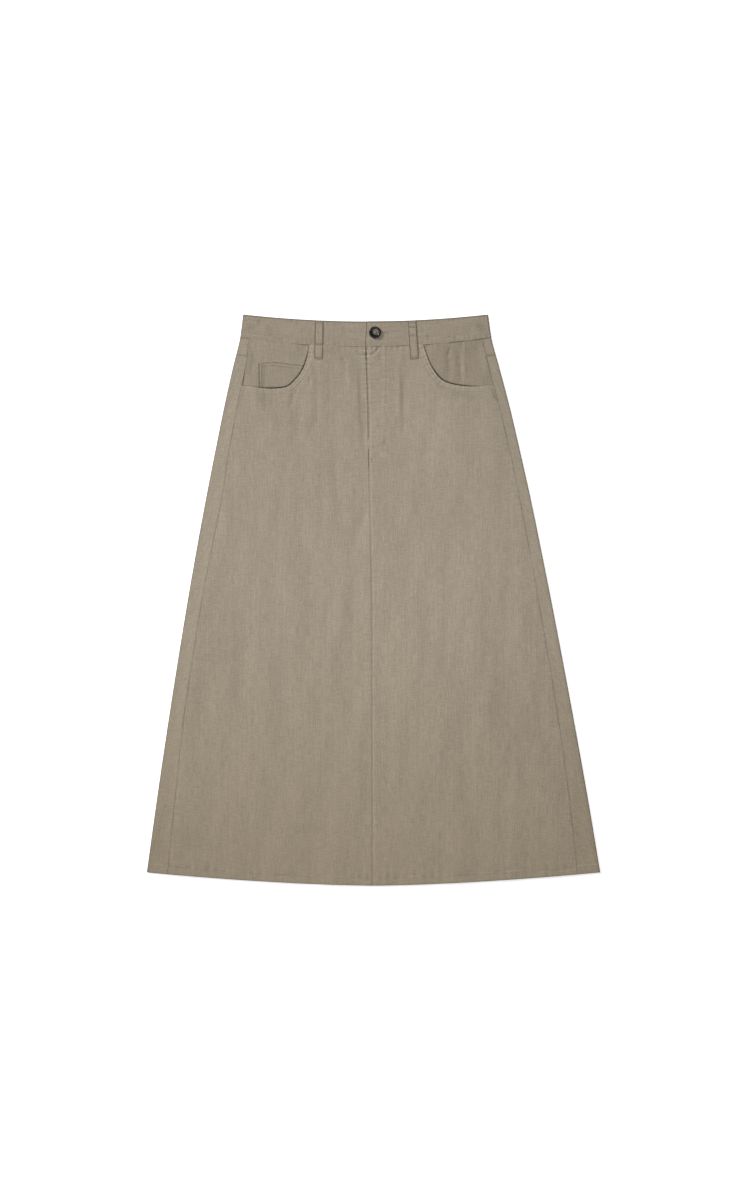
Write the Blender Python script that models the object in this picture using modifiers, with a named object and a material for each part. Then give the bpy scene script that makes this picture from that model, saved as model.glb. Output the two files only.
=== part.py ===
"""A-line maxi skirt with a fly front and curved pockets, laid flat on its back.

The skirt is a cloth tube pressed flat. Every point of it has a place in one shared plan:
`across` runs from -1 at the wearer's right fold to +1 at the left fold, and `down` is the
distance below the waist edge, measured at the folds. The back lies on the ground, wraps
up round both folds and meets the front panels at the side seams. +X is the wearer's left,
+Y points to the waist and +Z is up. Sizes are in millimetres until they enter a mesh.
"""

import bpy
import numpy as np

MM = 0.001

# The laid outline: half the width and its sideways sway, the strips of back cloth that
# show inside each fold, the centre front line, and how far the rows hang at the middle.
OUTLINE = np.array(
    [
        (0, 195.9, -12.7, 13.5, 14.0, -9.9, 11.2),
        (37, 200.9, -12.4, 14.0, 14.2, -12.0, 14.3),
        (80, 211.8, -11.9, 19.4, 15.6, -10.8, 14.6),
        (142, 227.0, -10.6, 20.2, 16.3, -8.6, 15.1),
        (230, 246.2, -9.2, 22.0, 15.9, -7.6, 15.8),
        (295, 259.8, -8.3, 24.6, 17.2, -6.2, 16.4),
        (391, 278.4, -7.3, 23.2, 18.6, -4.2, 17.1),
        (455, 290.3, -6.5, 22.4, 20.1, -3.3, 17.6),
        (615, 318.4, -4.2, 23.0, 23.2, -3.3, 18.9),
        (775, 344.7, -1.7, 28.8, 29.6, -2.5, 20.2),
        (892, 362.6, 0.0, 33.0, 36.5, -2.5, 21.1),
    ],
    dtype=[
        (column, float)
        for column in (
            "down",
            "half_width",
            "sway",
            "right_strip",
            "left_strip",
            "front_line",
            "hang",
        )
    ],
)
WAIST_BOW = 2.0  # the waist edge hangs as a parabola
HEM_BOW = 1.6  # the hem is a little straighter near its corners

# The curved pocket mouths, from the waistband to the side seam.
MOUTH_COLUMNS = [("out", float), ("down", float)]
RIGHT_MOUTH = np.array(
    [(90.2, 37), (92.0, 49), (98.4, 71), (110.9, 91), (131, 107.6), (162, 111.5), (200, 110)],
    dtype=MOUTH_COLUMNS,
)
LEFT_MOUTH = np.array(
    [(92.2, 37), (97.6, 55), (107.7, 78), (124.2, 96.8), (149.8, 106), (178.6, 110), (203, 109)],
    dtype=MOUTH_COLUMNS,
)

# The largest soft folds of the upper layer: each is a line with a Gaussian cross-section,
# a ridge where it rises and a trough where it sinks.
FOLDS = np.array(
    [
        (-174, 300, -176, 262, 9, -0.4),
        (-126, 330, -117, 224, 10, -0.5),
        (-70, 400, -54, 110, 11, -0.5),
        (-46, 392, -46, 337, 6, -0.4),
        (-21, 380, -12, 230, 6, -0.5),
        (40, 384, 41, 262, 5, 0.5),
        (49, 384, 50, 262, 6, -0.4),
        (132, 330, 165, 322, 7, -0.4),
        (-12, 150, -32, 84, 8, -0.7),
        (-118, 160, -100, 0, 16, -0.7),
        (-214, 10, -208, -160, 18, -0.8),
        (-150, -90, -146, -165, 14, -0.6),
        (-72, -60, -66, -165, 16, 0.7),
        (140, 60, 175, -150, 24, 0.6),
        (-326, -340, -318, -420, 22, -0.6),
        (-104, -360, -96, -430, 20, -0.6),
        (325, -370, 335, -430, 20, -0.6),
    ],
    dtype=[(column, float) for column in ("x0", "y0", "x1", "y1", "half_width", "rise")],
)

# Cloth
CLOTH_WALL = 1.0
SEAM_GAP = 0.3
LAY_GAP = 0.3  # between a piece and what it lies on
CLOTH_COLOUR = (0.344, 0.291, 0.222)
STRIP_COLOUR = (0.290, 0.243, 0.183)
HORN_COLOUR = (0.030, 0.027, 0.026)
TAPE_COLOUR = (0.250, 0.210, 0.160)
CLOTH_ROUGHNESS = 0.9
HORN_ROUGHNESS = 0.2

# The laid body. A reach is where an easing starts and ends, in from the fold.
LAID_LENGTH = 892.0
WAIST_Y = (LAID_LENGTH + OUTLINE["hang"][-1]) / 2
FOLD_HEIGHT = 3.7  # outer height of the upper layer beside the folds
LOFT = 0.6  # how much higher it lies further in
LOFT_REACH = (4.0, 45.0)
RELIEF_REACH = (2.0, 20.0)
HEM_SETTLE = 0.4
HEM_SETTLE_DEPTH = 60.0
HEM_DEPTH = 13.5
HEM_STEP = 0.35
HEM_STEP_RUN = 1.0  # the step at the hem's stitching is this long
ROLL = 2.2  # how far in from the fold the cloth rolls over
CENTRE_STEP = 0.3  # the seam allowances are pressed to the wearer's left
CENTRE_STEP_REACH = (2.0, 14.0)  # in from the centre front

# Waistband
BAND_HEIGHT = 37.0  # at the folds; the middle hangs 3 mm lower
BAND_WALL = 1.8
BAND_ROLL = 2.4
BAND_PROUD = 0.6
BAND_UNDERLAP = 26.0

# Fly
FLY_DEPTH = 205.0
PANEL_UNDERLAP = 22.0
PANEL_LAP = 1.45  # how far the lap lifts the panel
BAND_LAP = 2.2  # and how far it lifts the waistband
LAP_REACH = (33.0, 70.0)  # in from the centre front
LAP_FOOT = (7.0, 40.0)  # below the fly
ZIP_SIDES = (1.0, 15.0)  # in from the centre front
ZIP_TOP = BAND_HEIGHT + 4
ZIP_BOTTOM = FLY_DEPTH - 12
ZIP_WALL = 1.4
ZIP_DROP = 0.5

# Back yoke
YOKE_AT_FOLD = 64.0
YOKE_AT_CENTRE = 100.0

# Pockets
BAG_INNER_EDGE = 55.0
BAG_BOTTOM = 195.0
BAG_CORNER = 28.0
BAG_RISE = 0.4
BAG_SOFT_EDGE = (-18.0, 3.0)  # about its inner edge
BAG_FOLD_REACH = (6.0, 26.0)  # in from the fold
BAG_SOFT_FOOT = (-5.0, 35.0)  # below its bottom
BAG_DROP = 1.5  # the bag's face below the upper layer's
BAG_LEVEL_REACH = 14.0  # in from the side seam, where the bag's face is still level
BAG_LEVEL_DOWN = (78.0, 104.0)
COIN_OUTER_EDGE = 171.0
COIN_INNER_EDGE = 95.0
COIN_TOP = 69.0
COIN_BOTTOM = 145.0
COIN_LIFT = 1.2  # how far the patch lifts the panel above it
COIN_PLAY = 5.0  # and how far round the patch it does so fully
COIN_SLOPE = 18.0
BAG_EDGE_PLAY = 0.2  # the bag keeps this much more room at the side seam
MOUTH_GAPES = np.array(
    [(-1, -118, 361, 24, 1.2), (1, 105, 352, 20, 0.6)],
    dtype=[(column, float) for column in ("side", "x", "y", "radius", "rise")],
)

# Belt loops: centre at the top and at the bottom
LOOP_WIDTH = 13.0
LOOP_WALL = 1.3
LOOP_TOP = 0.8
LOOP_BOTTOM = 59.0
LOOP_ARCH = 0.5
LOOPS = {"belt_loop_right": (-86.9, -88.3), "belt_loop_left": (61.5, 65.5)}

# Button
BUTTON_X = 2.3
BUTTON_Y = 427.2
BUTTON_PROFILE = np.array(
    [
        (0.0, 2.2),
        (4.6, 2.2),
        (6.0, 2.5),
        (7.2, 3.2),
        (8.4, 3.2),
        (9.3, 2.6),
        (9.6, 1.6),
        (9.0, 0.5),
        (7.6, 0.0),
        (0.0, 0.0),
    ],
    dtype=[("radius", float), ("height", float)],
)
BUTTON_STEPS = 32
HOLE_RADIUS = 1.0
HOLE_OFFSET = 1.9
HOLE_SIDES = 12
DRILL_LENGTH = 12.0

SIDES = {"right": -1, "left": 1}


# --- Shared shape of the laid skirt -------------------------------------------------


def through(keys, values, at):
    """A smooth curve through the rows of a table that never overshoots them.

    Each span is a cubic, with a slope at each row that is the harmonic mean of the
    slopes on its two sides, or flat where they disagree.
    """
    at = np.asarray(at, float)
    steps = np.diff(keys)
    rises = np.diff(values) / steps
    slopes = np.concatenate([rises[:1], np.zeros(len(keys) - 2), rises[-1:]])
    agree = rises[:-1] * rises[1:] > 0
    total = np.where(agree, rises[:-1] + rises[1:], 1.0)
    slopes[1:-1] = np.where(agree, 2 * rises[:-1] * rises[1:] / total, 0.0)
    span = np.clip(np.searchsorted(keys, at) - 1, 0, len(keys) - 2)
    t = np.clip((at - keys[span]) / steps[span], 0, 1)
    rise = values[span + 1] - values[span]
    start = slopes[span] * steps[span]
    end = slopes[span + 1] * steps[span]
    bend = t * (1 - t) * (start * (1 - t) - end * t)
    return values[span] + rise * t * t * (3 - 2 * t) + bend


def laid(column, down):
    return through(OUTLINE["down"], OUTLINE[column], down)


def ease(value, start, end):
    """0 at start, 1 at end, held beyond both, and an S-curve between them."""
    t = np.clip((value - start) / (end - start), 0, 1)
    return t * t * (3 - 2 * t)


def plan(across, down):
    """The X and Y of a place on the laid skirt, whose rows hang at the middle."""
    bow = WAIST_BOW + (HEM_BOW - WAIST_BOW) * down / LAID_LENGTH
    x = laid("sway", down) + across * laid("half_width", down)
    y = WAIST_Y - down - laid("hang", down) * (1 - np.abs(across) ** bow)
    return x, y


def across_of(x, down):
    return (x - laid("sway", down)) / laid("half_width", down)


def fold_relief(x, y):
    """The sum of the soft folds, each fading with the distance from its line."""
    relief = np.zeros(np.broadcast(x, y).shape)
    for fold in FOLDS:
        run_x = fold["x1"] - fold["x0"]
        run_y = fold["y1"] - fold["y0"]
        along = (x - fold["x0"]) * run_x + (y - fold["y0"]) * run_y
        along = np.clip(along / (run_x**2 + run_y**2), 0, 1)
        away = np.hypot(x - fold["x0"] - along * run_x, y - fold["y0"] - along * run_y)
        relief += fold["rise"] * np.exp(-((away / fold["half_width"]) ** 2))
    return relief


def upper_height(across, down):
    """Outer height of the upper layer: low at the folds, raised over the pocket bags."""
    half_width = laid("half_width", down)
    inward = (1 - np.abs(across)) * half_width
    out = np.abs(across) * half_width
    over_bag = ease(out - BAG_INNER_EDGE, *BAG_SOFT_EDGE) * ease(inward, *BAG_FOLD_REACH)
    over_bag = over_bag * (1 - ease(down - BAG_BOTTOM, *BAG_SOFT_FOOT))
    height = FOLD_HEIGHT + LOFT * ease(inward, *LOFT_REACH) + BAG_RISE * over_bag
    height = height - HEM_SETTLE * ease(down, LAID_LENGTH - HEM_SETTLE_DEPTH, LAID_LENGTH)
    height = height + HEM_STEP * (down > LAID_LENGTH - HEM_DEPTH)
    return height + fold_relief(*plan(across, down)) * ease(inward, *RELIEF_REACH)


def lap_rise(across, down, lift):
    """Extra height of the left front where it laps over the fly, easing away from it."""
    beyond = plan(across, down)[0] - laid("front_line", down)
    over_fly = (1 - ease(beyond, *LAP_REACH)) * (1 - ease(down - FLY_DEPTH, *LAP_FOOT))
    beside_seam = 1 - ease(beyond, *CENTRE_STEP_REACH)
    return lift * over_fly + CENTRE_STEP * (1 - over_fly) * beside_seam


def coin_rise(across, down):
    """The right front panel rides up over the coin pocket behind its mouth."""
    out = np.abs(across) * laid("half_width", down)
    rise = ease(COIN_INNER_EDGE - out, COIN_SLOPE, COIN_PLAY)
    rise = rise * ease(out - COIN_OUTER_EDGE, COIN_SLOPE, COIN_PLAY)
    rise = rise * ease(COIN_TOP - down, COIN_SLOPE / 2, COIN_PLAY / 2)
    return COIN_LIFT * rise * ease(down - COIN_BOTTOM, COIN_SLOPE + COIN_PLAY, COIN_PLAY)


def front_height(side_name, across, down):
    """Outer height of a front panel, with the fly's lap and the pocket mouth's gape."""
    height = upper_height(across, down)
    if side_name == "left":
        height = height + lap_rise(across, down, PANEL_LAP)
    else:
        height = height + coin_rise(across, down)
    x, y = plan(across, down)
    for gape in MOUTH_GAPES[MOUTH_GAPES["side"] == SIDES[side_name]]:
        away = np.hypot(x - gape["x"], y - gape["y"])
        height = height + gape["rise"] * np.exp(-((away / gape["radius"]) ** 2))
    return height


def seam_across(side_name, down, inward_shift):
    """Across value of a side seam, moved towards the centre by inward_shift."""
    strip = laid(side_name + "_strip", down) + inward_shift
    return SIDES[side_name] * (1 - strip / laid("half_width", down))


def mouth_line(side_name, count):
    """Across and down values of evenly spaced places along a pocket mouth."""
    mouth = RIGHT_MOUTH if side_name == "right" else LEFT_MOUTH
    chords = np.hypot(np.diff(mouth["out"]), np.diff(mouth["down"]))
    travel = np.concatenate([[0], np.cumsum(chords)])
    at = np.linspace(0, travel[-1], count)
    down = through(travel, mouth["down"], at)
    out = through(travel, mouth["out"], at)
    across = SIDES[side_name] * out / laid("half_width", down)
    across[-1] = seam_across(side_name, down[-1], SEAM_GAP / 2)
    return across, down


# --- Making objects -----------------------------------------------------------------

for leftover in list(bpy.data.objects):
    bpy.data.objects.remove(leftover)

skirt = bpy.data.collections.new("maxi_skirt")
cutters = bpy.data.collections.new("cutters")
cutters.hide_render = True
bpy.context.scene.collection.children.link(skirt)
bpy.context.scene.collection.children.link(cutters)


def finish_material(name, colour, roughness):
    material = bpy.data.materials.new(name)
    material.use_nodes = True
    shader = material.node_tree.nodes["Principled BSDF"]
    shader.inputs["Base Color"].default_value = (*colour, 1)
    shader.inputs["Roughness"].default_value = roughness
    shader.inputs["Metallic"].default_value = 0
    return material


def cloth_piece(name, x, y, z, wall, colour=CLOTH_COLOUR, facing_up=True):
    """A cloth shell: an open grid of outer points, thickened inwards by its wall."""
    rows, columns = x.shape
    points = np.stack([x, y, z], axis=-1).reshape(-1, 3) * MM
    index = np.arange(rows * columns).reshape(rows, columns)
    faces = np.stack([index[:-1, :-1], index[1:, :-1], index[1:, 1:], index[:-1, 1:]], axis=-1)
    faces = faces.reshape(-1, 4)
    if not facing_up:
        faces = faces[:, ::-1]
    mesh = bpy.data.meshes.new(name)
    mesh.from_pydata(points.tolist(), [], faces.tolist())
    mesh.materials.append(finish_material(name, colour, CLOTH_ROUGHNESS))
    mesh.shade_smooth()
    piece = bpy.data.objects.new(name, mesh)
    skirt.objects.link(piece)
    shell = piece.modifiers.new("wall", "SOLIDIFY")
    shell.thickness = wall * MM
    shell.offset = -1
    shell.use_even_offset = True
    return piece


# --- Front panels -------------------------------------------------------------------

BAND_COLUMNS = 7
MOUTH_COLUMN_COUNT = 10
PANEL_ROWS = 32
ROW_CROWDING = 1.6
UNDERLAP_TAPER = 0.55  # the underlap keeps its width down this share of the fly


def centre_across(side_name, down):
    """Across value of a front panel's centre edge, with the right panel's underlap."""
    line = laid("front_line", down) + SIDES[side_name] * SEAM_GAP / 2
    if side_name == "right":
        line = line + PANEL_UNDERLAP * (1 - ease(down, UNDERLAP_TAPER * FLY_DEPTH, FLY_DEPTH))
    return across_of(line, down)


def front_panel(side_name):
    """A front panel, its columns running from the waistband or pocket mouth to the hem."""
    mouth_across, mouth_down = mouth_line(side_name, MOUTH_COLUMN_COUNT)
    top = BAND_HEIGHT + SEAM_GAP / 2
    mouth_down = np.maximum(mouth_down, top)
    band_across = np.linspace(centre_across(side_name, top), mouth_across[0], BAND_COLUMNS)
    top_across = np.concatenate([band_across[:-1], mouth_across])
    top_down = np.concatenate([np.full(BAND_COLUMNS - 1, top), mouth_down])

    # Rows crowd towards the top, and the last two hold the turned hem.
    travel = np.linspace(0, 1, PANEL_ROWS)[:, None] ** ROW_CROWDING
    hem_line = LAID_LENGTH - HEM_DEPTH
    down = top_down + (hem_line - HEM_STEP_RUN / 2 - top_down) * travel
    hem_rows = np.array([hem_line + HEM_STEP_RUN / 2, LAID_LENGTH])[:, None]
    down = np.concatenate([down, np.broadcast_to(hem_rows, (2, len(top_down)))])
    travel = np.concatenate([travel, [[1], [1]]])

    # Each column keeps a share of the panel's width that eases to an even spread.
    centre = centre_across(side_name, down)
    seam = seam_across(side_name, down, SEAM_GAP / 2)
    share_top = (top_across - centre[0]) / (seam[0] - centre[0])
    share_hem = np.linspace(0, 1, len(top_down))
    across = centre + (share_top + (share_hem - share_top) * travel) * (seam - centre)

    x, y = plan(across, down)
    z = front_height(side_name, across, down)
    # Rows run down and columns run from the centre outwards, so the left panel faces up.
    return cloth_piece("front_panel_" + side_name, x, y, z, CLOTH_WALL, facing_up=side_name == "left")


for panel_side in SIDES:
    front_panel(panel_side)


# --- Back panels and yokes ----------------------------------------------------------

FLAT_STATIONS = np.linspace(0, 1, 5)
ROLL_STATIONS = np.linspace(1, 2, 6)
STRIP_STATIONS = np.linspace(2, 3, 4)
BACK_STATIONS = np.concatenate([FLAT_STATIONS, ROLL_STATIONS[1:], STRIP_STATIONS[1:]])
BACK_ROWS = 22
BACK_ROW_CROWDING = 1.3
YOKE_ROWS = 4


def wrapped_skin(side_name, station, down):
    """Outer skin of a back piece.

    Stations 0 to 1 lie on the ground from the centre back to the fold, 1 to 2 turn half
    an ellipse round it, and 2 to 3 lie on top as far as the side seam.
    """
    half_width = laid("half_width", down)
    strip = laid(side_name + "_strip", down) - SEAM_GAP / 2
    turn = np.pi * np.clip(station - 1, 0, 1)
    flat_share = np.clip(station, 0, 1)
    strip_share = np.clip(station - 2, 0, 1)
    inward = (half_width - SEAM_GAP / 2) * (1 - flat_share) + ROLL * flat_share
    inward = inward - ROLL * np.sin(turn) + (strip - ROLL) * strip_share
    across = SIDES[side_name] * (1 - inward / half_width)
    fold_top = upper_height(SIDES[side_name] * (1 - ROLL / half_width), down)
    z = fold_top * (1 - np.cos(turn)) / 2
    z = np.where(station > 2, upper_height(across, down), z)
    x, y = plan(across, down)
    return x, y, z


def yoke_seam_down(station):
    """The back yoke's lower seam: a shallow V, level where it wraps round the fold."""
    return YOKE_AT_CENTRE + (YOKE_AT_FOLD - YOKE_AT_CENTRE) * np.clip(station, 0, 1)


def back_piece(name, side_name, start, end, travel):
    """A back piece between two rows, each given as a down value for every station."""
    down = start + (end - start) * travel[:, None]
    x, y, z = wrapped_skin(side_name, BACK_STATIONS, down)
    return cloth_piece(name, x, y, z, CLOTH_WALL, STRIP_COLOUR, facing_up=side_name == "right")


for back_side in SIDES:
    yoke_seam = yoke_seam_down(BACK_STATIONS)
    last_row = 1 - HEM_DEPTH / LAID_LENGTH
    back_piece(
        "back_yoke_" + back_side,
        back_side,
        np.full(len(yoke_seam), BAND_HEIGHT + SEAM_GAP / 2),
        yoke_seam - SEAM_GAP / 2,
        np.linspace(0, 1, YOKE_ROWS),
    )
    back_piece(
        "back_panel_" + back_side,
        back_side,
        yoke_seam + SEAM_GAP / 2,
        np.full(len(yoke_seam), LAID_LENGTH),
        np.concatenate([np.linspace(0, last_row, BACK_ROWS) ** BACK_ROW_CROWDING, [1]]),
    )


# --- Waistband ----------------------------------------------------------------------

BAND_ROWS = np.array([0, 2.5, 19, BAND_HEIGHT - SEAM_GAP / 2])[:, None]
BAND_FRONT_COLUMNS = 15
BAND_BACK_COLUMNS = 9
BAND_ROLL_COLUMNS = 7


def band_height(across):
    """The waistband stands a little proud of the panels' upper edge."""
    return upper_height(across, BAND_HEIGHT) + BAND_PROUD


def band_roll(side, turn):
    """Half an ellipse round a fold: turn runs from 0 on the ground to pi on top."""
    half_width = laid("half_width", BAND_ROWS)
    across = side * (1 - BAND_ROLL * (1 - np.sin(turn)) / half_width)
    fold_top = band_height(side * (1 - BAND_ROLL / laid("half_width", BAND_HEIGHT)))
    z = np.broadcast_to(fold_top * (1 - np.cos(turn)) / 2, across.shape)
    return across, z


def waistband():
    """One band: from its underlap round the right fold, the back and the left fold."""
    half_width = laid("half_width", BAND_ROWS)
    edge = 1 - BAND_ROLL / half_width
    under_end = across_of(laid("front_line", BAND_ROWS) + BAND_UNDERLAP, BAND_ROWS)
    lap_end = across_of(laid("front_line", BAND_ROWS) + SEAM_GAP / 2, BAND_ROWS)
    front_share = np.linspace(0, 1, BAND_FRONT_COLUMNS)
    right_front = under_end + (-edge - under_end) * front_share
    back = edge * np.linspace(-1, 1, BAND_BACK_COLUMNS)
    left_front = edge + (lap_end - edge) * front_share
    turn_up = np.pi * np.linspace(0, 1, BAND_ROLL_COLUMNS)
    right_roll, right_roll_z = band_roll(-1, turn_up[::-1])
    left_roll, left_roll_z = band_roll(1, turn_up)

    across = np.concatenate(
        [right_front, right_roll[:, 1:-1], back, left_roll[:, 1:-1], left_front], axis=1
    )
    left_front_z = band_height(left_front) + lap_rise(left_front, BAND_HEIGHT, BAND_LAP)
    z = np.concatenate(
        [
            band_height(right_front),
            right_roll_z[:, 1:-1],
            np.zeros_like(back),
            left_roll_z[:, 1:-1],
            left_front_z,
        ],
        axis=1,
    )
    x, y = plan(across, BAND_ROWS)
    return cloth_piece("waistband", x, y, z, BAND_WALL, facing_up=False)


waistband()


# --- Pocket bags and coin pocket ----------------------------------------------------

BAG_COLUMNS = 12
BAG_ROWS = 12
BAG_CORNER_POWER = 4
COIN_COLUMNS = 6
COIN_ROWS = 6


def bag_height(side_name, across, down):
    """The bag's face is level with the side seam at its edge and sinks below the panel."""
    from_seam = np.abs(across - seam_across(side_name, down, 0)) * laid("half_width", down)
    level = (1 - ease(from_seam, 0, BAG_LEVEL_REACH)) * (1 - ease(down, *BAG_LEVEL_DOWN))
    return upper_height(across, down) - BAG_DROP * (1 - level)


def pocket_bag(side_name):
    """Facing and bag in one, from the waistband down behind the front panel."""
    share = np.linspace(0, 1, BAG_COLUMNS)
    top = BAND_HEIGHT + SEAM_GAP / 2
    bottom = BAG_BOTTOM - BAG_CORNER * np.abs(2 * share - 1) ** BAG_CORNER_POWER
    down = top + (bottom - top) * np.linspace(0, 1, BAG_ROWS)[:, None]
    inner = SIDES[side_name] * BAG_INNER_EDGE / laid("half_width", down)
    outer = seam_across(side_name, down, SEAM_GAP / 2 + BAG_EDGE_PLAY)
    across = inner + (outer - inner) * share
    x, y = plan(across, down)
    z = bag_height(side_name, across, down)
    return cloth_piece("pocket_bag_" + side_name, x, y, z, CLOTH_WALL, facing_up=side_name == "left")


for bag_side in SIDES:
    pocket_bag(bag_side)

# Coin pocket
coin_down = np.linspace(COIN_TOP, COIN_BOTTOM, COIN_ROWS)[:, None]
coin_out = np.linspace(COIN_INNER_EDGE, COIN_OUTER_EDGE, COIN_COLUMNS)
coin_across = -coin_out / laid("half_width", coin_down)
coin_x, coin_y = plan(coin_across, coin_down)
coin_z = bag_height("right", coin_across, coin_down) + LAY_GAP + CLOTH_WALL
cloth_piece("coin_pocket", coin_x, coin_y, coin_z, CLOTH_WALL, facing_up=False)


# --- Zip strip behind the fly -------------------------------------------------------

ZIP_ROWS = 9
ZIP_COLUMNS = 3

zip_down = np.linspace(ZIP_TOP, ZIP_BOTTOM, ZIP_ROWS)[:, None]
zip_x = laid("front_line", zip_down) + np.linspace(*ZIP_SIDES, ZIP_COLUMNS)
zip_across = across_of(zip_x, zip_down)
zip_z = upper_height(zip_across, zip_down) - CLOTH_WALL - ZIP_DROP
cloth_piece("fly_zip", *plan(zip_across, zip_down), zip_z, ZIP_WALL, TAPE_COLOUR)


# --- Belt loops ---------------------------------------------------------------------

LOOP_ROWS = 10
LOOP_COLUMNS = 3
LOOP_STEP_DOWN = (2.0, 14.0)  # below the waistband, where the loop comes down to the panel


def belt_loop(name, x_top, x_bottom):
    """A folded strip tacked at both ends, lying over the waistband and the panel."""
    travel = np.linspace(0, 1, LOOP_ROWS)[:, None]
    down = LOOP_TOP + (LOOP_BOTTOM - LOOP_TOP) * travel
    width = np.linspace(-0.5, 0.5, LOOP_COLUMNS) * LOOP_WIDTH
    across = across_of(x_top + (x_bottom - x_top) * travel + width, down)
    seat = front_height("left" if x_top > 0 else "right", across, np.maximum(down, BAND_HEIGHT))
    seat = seat + BAND_PROUD * (1 - ease(down - BAND_HEIGHT, *LOOP_STEP_DOWN))
    arch = LOOP_ARCH * np.sin(np.pi * travel)
    x, y = plan(across, down)
    return cloth_piece(name, x, y, seat + arch + LAY_GAP + LOOP_WALL, LOOP_WALL)


for loop_name, (loop_top_x, loop_bottom_x) in LOOPS.items():
    belt_loop(loop_name, loop_top_x, loop_bottom_x)


# --- Button -------------------------------------------------------------------------


def button():
    """A dished horn button with a rounded rim and four holes, turned and then drilled."""
    centre = np.array([BUTTON_X, BUTTON_Y, 0])
    centre[2] = band_height(across_of(BUTTON_X, BAND_HEIGHT / 2)) + BAND_LAP + LAY_GAP
    points = [(row["radius"] * MM, 0, row["height"] * MM) for row in BUTTON_PROFILE]
    edges = [(i, i + 1) for i in range(len(points) - 1)]
    mesh = bpy.data.meshes.new("button")
    mesh.from_pydata(points, edges, [])
    mesh.materials.append(finish_material("button", HORN_COLOUR, HORN_ROUGHNESS))
    disc = bpy.data.objects.new("button", mesh)
    disc.location = centre * MM
    skirt.objects.link(disc)
    turned = disc.modifiers.new("turned", "SCREW")
    turned.steps = BUTTON_STEPS
    turned.render_steps = BUTTON_STEPS
    turned.use_merge_vertices = True
    turned.merge_threshold = 0.00001
    for corner in ((-1, -1), (-1, 1), (1, -1), (1, 1)):
        offset = np.array([*corner, 0]) * HOLE_OFFSET
        bpy.ops.mesh.primitive_cylinder_add(
            vertices=HOLE_SIDES,
            radius=HOLE_RADIUS * MM,
            depth=DRILL_LENGTH * MM,
            location=(centre + offset) * MM,
        )
        drill = bpy.context.active_object
        drill.name = "button_drill"
        for home in list(drill.users_collection):
            home.objects.unlink(drill)
        cutters.objects.link(drill)
        drill.hide_render = True
        drill.display_type = "WIRE"
        hole = disc.modifiers.new("hole", "BOOLEAN")
        hole.operation = "DIFFERENCE"
        hole.solver = "EXACT"
        hole.object = drill
    return disc


button()
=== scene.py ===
"""The finish of a laid A-line maxi skirt: its cloth, sewing, button and the light on it.

Every cloth piece is a thin shell on its solid's form. `across` runs from -1 at the
wearer's right fold to +1 at the left fold, and `down` is the distance below the waist
edge at the folds. Sizes are in millimetres until they enter a mesh.
"""

import bmesh
import bpy
import numpy as np
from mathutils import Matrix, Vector


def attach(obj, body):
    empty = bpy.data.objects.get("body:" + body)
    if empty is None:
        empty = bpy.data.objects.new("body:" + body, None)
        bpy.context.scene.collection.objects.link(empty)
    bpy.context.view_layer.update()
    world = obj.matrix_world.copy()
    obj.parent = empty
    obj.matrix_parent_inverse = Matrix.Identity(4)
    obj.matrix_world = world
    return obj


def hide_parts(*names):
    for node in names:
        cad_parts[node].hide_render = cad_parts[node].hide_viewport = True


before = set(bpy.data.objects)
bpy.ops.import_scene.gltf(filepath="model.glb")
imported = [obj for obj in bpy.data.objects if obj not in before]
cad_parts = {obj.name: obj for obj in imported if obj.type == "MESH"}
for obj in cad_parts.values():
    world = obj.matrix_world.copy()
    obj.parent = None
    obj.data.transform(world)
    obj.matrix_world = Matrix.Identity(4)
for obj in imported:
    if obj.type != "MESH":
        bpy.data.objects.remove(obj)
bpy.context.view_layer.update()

# --- Front panels -------------------------------------------------------------------
# Two panels of washed linen-look cloth, cut on the straight grain. They meet at the centre
# front, where the wearer's left one laps over the fly, and end in the curved pocket mouths.
# Both mouths and the hem are turned in and topstitched.

MM = 0.001
SIDES = {"right": -1, "left": 1}


def table(columns, rows):
    """Rows of numbers under named columns."""
    return np.array(rows, dtype=[(column, float) for column in columns.split()])


OUTLINE = table(
    "down half_width sway right_strip left_strip front_line hang",
    [
        (0, 195.9, -12.7, 13.5, 14.0, -9.9, 11.2),
        (37, 200.9, -12.4, 14.0, 14.2, -12.0, 14.3),
        (80, 211.8, -11.9, 19.4, 15.6, -10.8, 14.6),
        (142, 227.0, -10.6, 20.2, 16.3, -8.6, 15.1),
        (230, 246.2, -9.2, 22.0, 15.9, -7.6, 15.8),
        (295, 259.8, -8.3, 24.6, 17.2, -6.2, 16.4),
        (391, 278.4, -7.3, 23.2, 18.6, -4.2, 17.1),
        (455, 290.3, -6.5, 22.4, 20.1, -3.3, 17.6),
        (615, 318.4, -4.2, 23.0, 23.2, -3.3, 18.9),
        (775, 344.7, -1.7, 28.8, 29.6, -2.5, 20.2),
        (892, 362.6, 0.0, 33.0, 36.5, -2.5, 21.1),
    ],
)
WAIST_BOW = 2.0
HEM_BOW = 1.6
LAID_LENGTH = 892.0
WAIST_Y = (LAID_LENGTH + OUTLINE["hang"][-1]) / 2
BAND_HEIGHT = 37.0
HEM_DEPTH = 13.5
HEM_LINE = LAID_LENGTH - HEM_DEPTH

MOUTHS = {
    "right": [(90.2, 37), (92, 49), (98.4, 71), (110.9, 91), (131, 107.6), (162, 111.5), (200, 110)],
    "left": [(92.2, 37), (97.6, 55), (107.7, 78), (124.2, 96.8), (149.8, 106), (178.6, 110), (203, 109)],
}


def strokes(rows):
    """Lines from one place to another, each with its half width and its rise."""
    return table("x0 y0 x1 y1 half_width rise", rows)


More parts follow.
